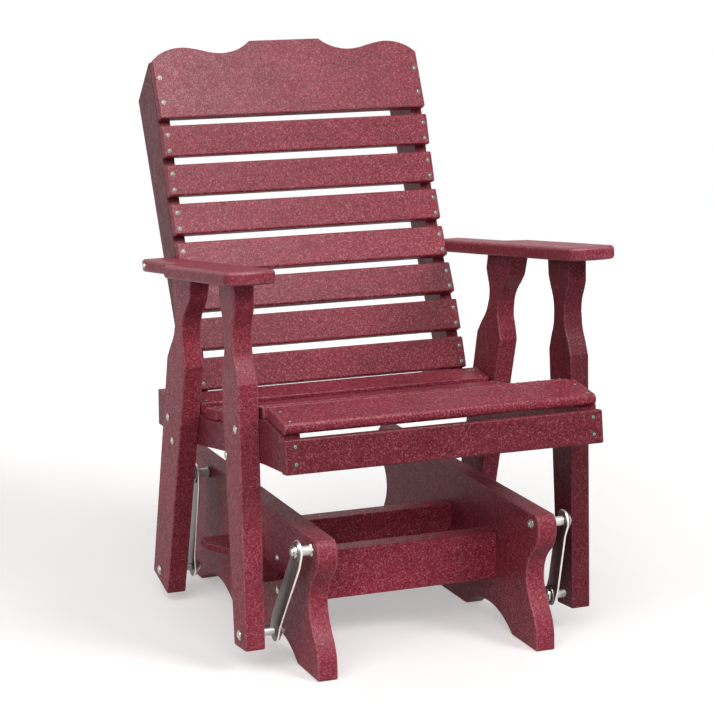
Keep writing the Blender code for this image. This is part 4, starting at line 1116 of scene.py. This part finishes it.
def dress_screws():
    """Screws of the seat slats, the back boards and the apron, one piece for each group."""
    groups = {"seat_slat_screws": [], "back_screws": [], "apron_screws": []}
    for index, (corner, direction, depth) in enumerate(SEAT_PLACES):
        normal = square_to(direction)
        for share in (SEAT_SCREW_SHARES if index else NOSE_SCREW_SHARES):
            point = corner + normal * SEAT_BOARD + direction * depth * share
            groups["seat_slat_screws"].append((SEAT_SCREW_X, point, normal))
    for corner, up in BACK_PLACES:
        rises = [share * BACK_SLAT_WIDTH for share in BACK_SCREW_SHARES]
        for rise in (CREST_SCREW_RISES if corner == CREST_FOOT else rises):
            groups["back_screws"].append((BACK_SCREW_X, corner + up * rise, square_to(up)))
    up = leaning(APRON_TILT)
    for rise in APRON_SCREW_RISES:
        groups["apron_screws"].append((SEAT_SCREW_X, APRON_FOOT + up * rise, square_to(up)))
    for name, spots in groups.items():
        parts = []
        for x, point, normal in spots:
            for word, side in SIDES:
                parts += screw_parts(facing(side * x, point, normal))
        add_fitting(name, parts, [SCREW, PAINTED_SHADOW], "seat", sharp=COARSE_SHARP)


def dress_frame_bolts():
    """Bolts through the cross rails, the seat frame and the arm tails."""
    radius, height = FRAME_BOLT_RADIUS, FRAME_BOLT_HEIGHT
    tail_x = ARM_INNER_X + ARM_TAIL_WIDTH
    tail_z = ARM_FRONT_Z - (TAIL_SCREW_Y - ARM_FRONT_Y) * math.tan(ARM_TILT) + ARM_BOARD / 2
    for word, side in SIDES:
        parts = []
        for y, z in CROSS_BOLTS:
            parts += bolt_parts(along_x(side * STAND_HALF_WIDTH, y, z, side), radius, height)
        add_fitting(word + "_cross_rail_bolts", parts, [ZINC], "stand")
        parts = []
        for y, z in POST_BOLTS:
            parts += bolt_parts(along_x(side * POST_OUTER_X, y, z, side), radius, height)
            parts += nut_parts(along_x(side * RAIL_INNER_X, y, z, -side))
        parts += bolt_parts(along_x(side * tail_x, TAIL_SCREW_Y, tail_z, side),
                            radius * TAIL_BOLT_SHARE, height)
        add_fitting(word + "_frame_bolts", parts, [ZINC], "seat")


# Floor, world, lamps and camera

def seen_white(tree):
    """One for rays from the camera, off gloss and through glass, else nothing."""
    path = add_node(tree, "ShaderNodeLightPath").outputs
    seen = number(tree, "MAXIMUM", path["Is Camera Ray"], path["Is Glossy Ray"])
    return number(tree, "MAXIMUM", seen, path["Is Transmission Ray"])


def make_floor():
    """Pale floor that the camera sees as white, with the chair's shadow on it."""
    shape = bmesh.new()
    bmesh.ops.create_grid(shape, x_segments=1, y_segments=1, size=FLOOR_HALF)
    mesh = mesh_from(shape, "floor", False)
    floor = add_object("floor", mesh)
    floor.location = (0.0, 0.0, -FLOOR_DROP)
    material = bpy.data.materials.new("floor_paper")
    tree = empty_tree(material)
    seen = seen_white(tree)
    shader = add_node(tree, "ShaderNodeBsdfPrincipled", {
        "Base Color": mix(tree, "MIX", seen, FLOOR_BOUNCE, FLOOR_COLOUR), "Roughness": 0.9,
        "Specular IOR Level": 0.1})
    glow = add_node(tree, "ShaderNodeEmission", {
        "Color": grey(1.0), "Strength": number(tree, "MULTIPLY", seen, FLOOR_GLOW)})
    both = add_node(tree, "ShaderNodeAddShader", {0: shader.outputs["BSDF"], 1: glow.outputs["Emission"]})
    add_node(tree, "ShaderNodeOutputMaterial", {"Surface": both.outputs["Shader"]})
    mesh.materials.append(material)


def make_world():
    """White room: plain light for the chair, pure white to the camera, to gloss and to glass."""
    world = bpy.data.worlds.new("studio")
    bpy.context.scene.world = world
    tree = empty_tree(world)
    rise = number(tree, "MULTIPLY", seen_white(tree), 1.0 - AMBIENT)
    back = add_node(tree, "ShaderNodeBackground", {
        "Color": grey(1.0), "Strength": number(tree, "ADD", rise, AMBIENT)})
    add_node(tree, "ShaderNodeOutputWorld", {"Surface": back.outputs["Background"]})


def make_lamps():
    """Broad lamps, and a soft box that only reflections show."""
    for name, round_by, rise, strength, spread, glossy in LAMPS:
        lamp = bpy.data.lights.new(name, "SUN")
        lamp.energy = strength
        lamp.angle = math.radians(spread)
        item = add_object(name, lamp)
        turn, lift = math.radians(round_by), math.radians(rise)
        towards = Vector((math.sin(turn) * math.cos(lift), -math.cos(turn) * math.cos(lift),
                          math.sin(lift)))
        item.location = towards * LAMP_DISTANCE
        item.rotation_euler = towards.to_track_quat("Z", "Y").to_euler()
        item.visible_glossy = glossy
    box = bpy.data.lights.new("front_box", "AREA")
    box.shape = "RECTANGLE"
    box.size, box.size_y = BOX_SIZE
    box.energy = BOX_WATTS
    item = add_object("front_box", box)
    item.location = BOX_PLACE
    item.rotation_euler = (Vector(BOX_PLACE) - Vector(BOX_AIM)).to_track_quat("Z", "Y").to_euler()
    item.visible_diffuse = False


def make_camera():
    """Camera fitted to the photograph."""
    turn, rise, roll = CAMERA_ANGLES
    back = Vector((math.sin(turn) * math.cos(rise), -math.cos(turn) * math.cos(rise), math.sin(rise)))
    right = Vector((math.cos(turn), math.sin(turn), 0.0))
    up = back.cross(right)
    level, tip = math.cos(roll), math.sin(roll)
    axes = Matrix((level * right + tip * up, level * up - tip * right, back)).transposed()
    camera = bpy.data.cameras.new("camera")
    camera.sensor_width = SENSOR
    camera.lens = SENSOR * FOCAL_PIXELS / PHOTO_PIXELS
    camera.clip_end = 60.0
    item = add_object("camera", camera)
    item.matrix_world = TO_FRAME @ Matrix.Translation(CAMERA_PLACE) @ axes.to_4x4()
    bpy.context.scene.camera = item


dress_stand()
dress_upper_pivots()
dress_lower_pivots()
dress_links()
dress_posts()
dress_rails_and_uprights()
dress_slats()
dress_arms()
dress_screws()
dress_frame_bolts()
make_floor()
make_world()
make_lamps()
make_camera()
bpy.context.scene.view_settings.view_transform = "Standard"
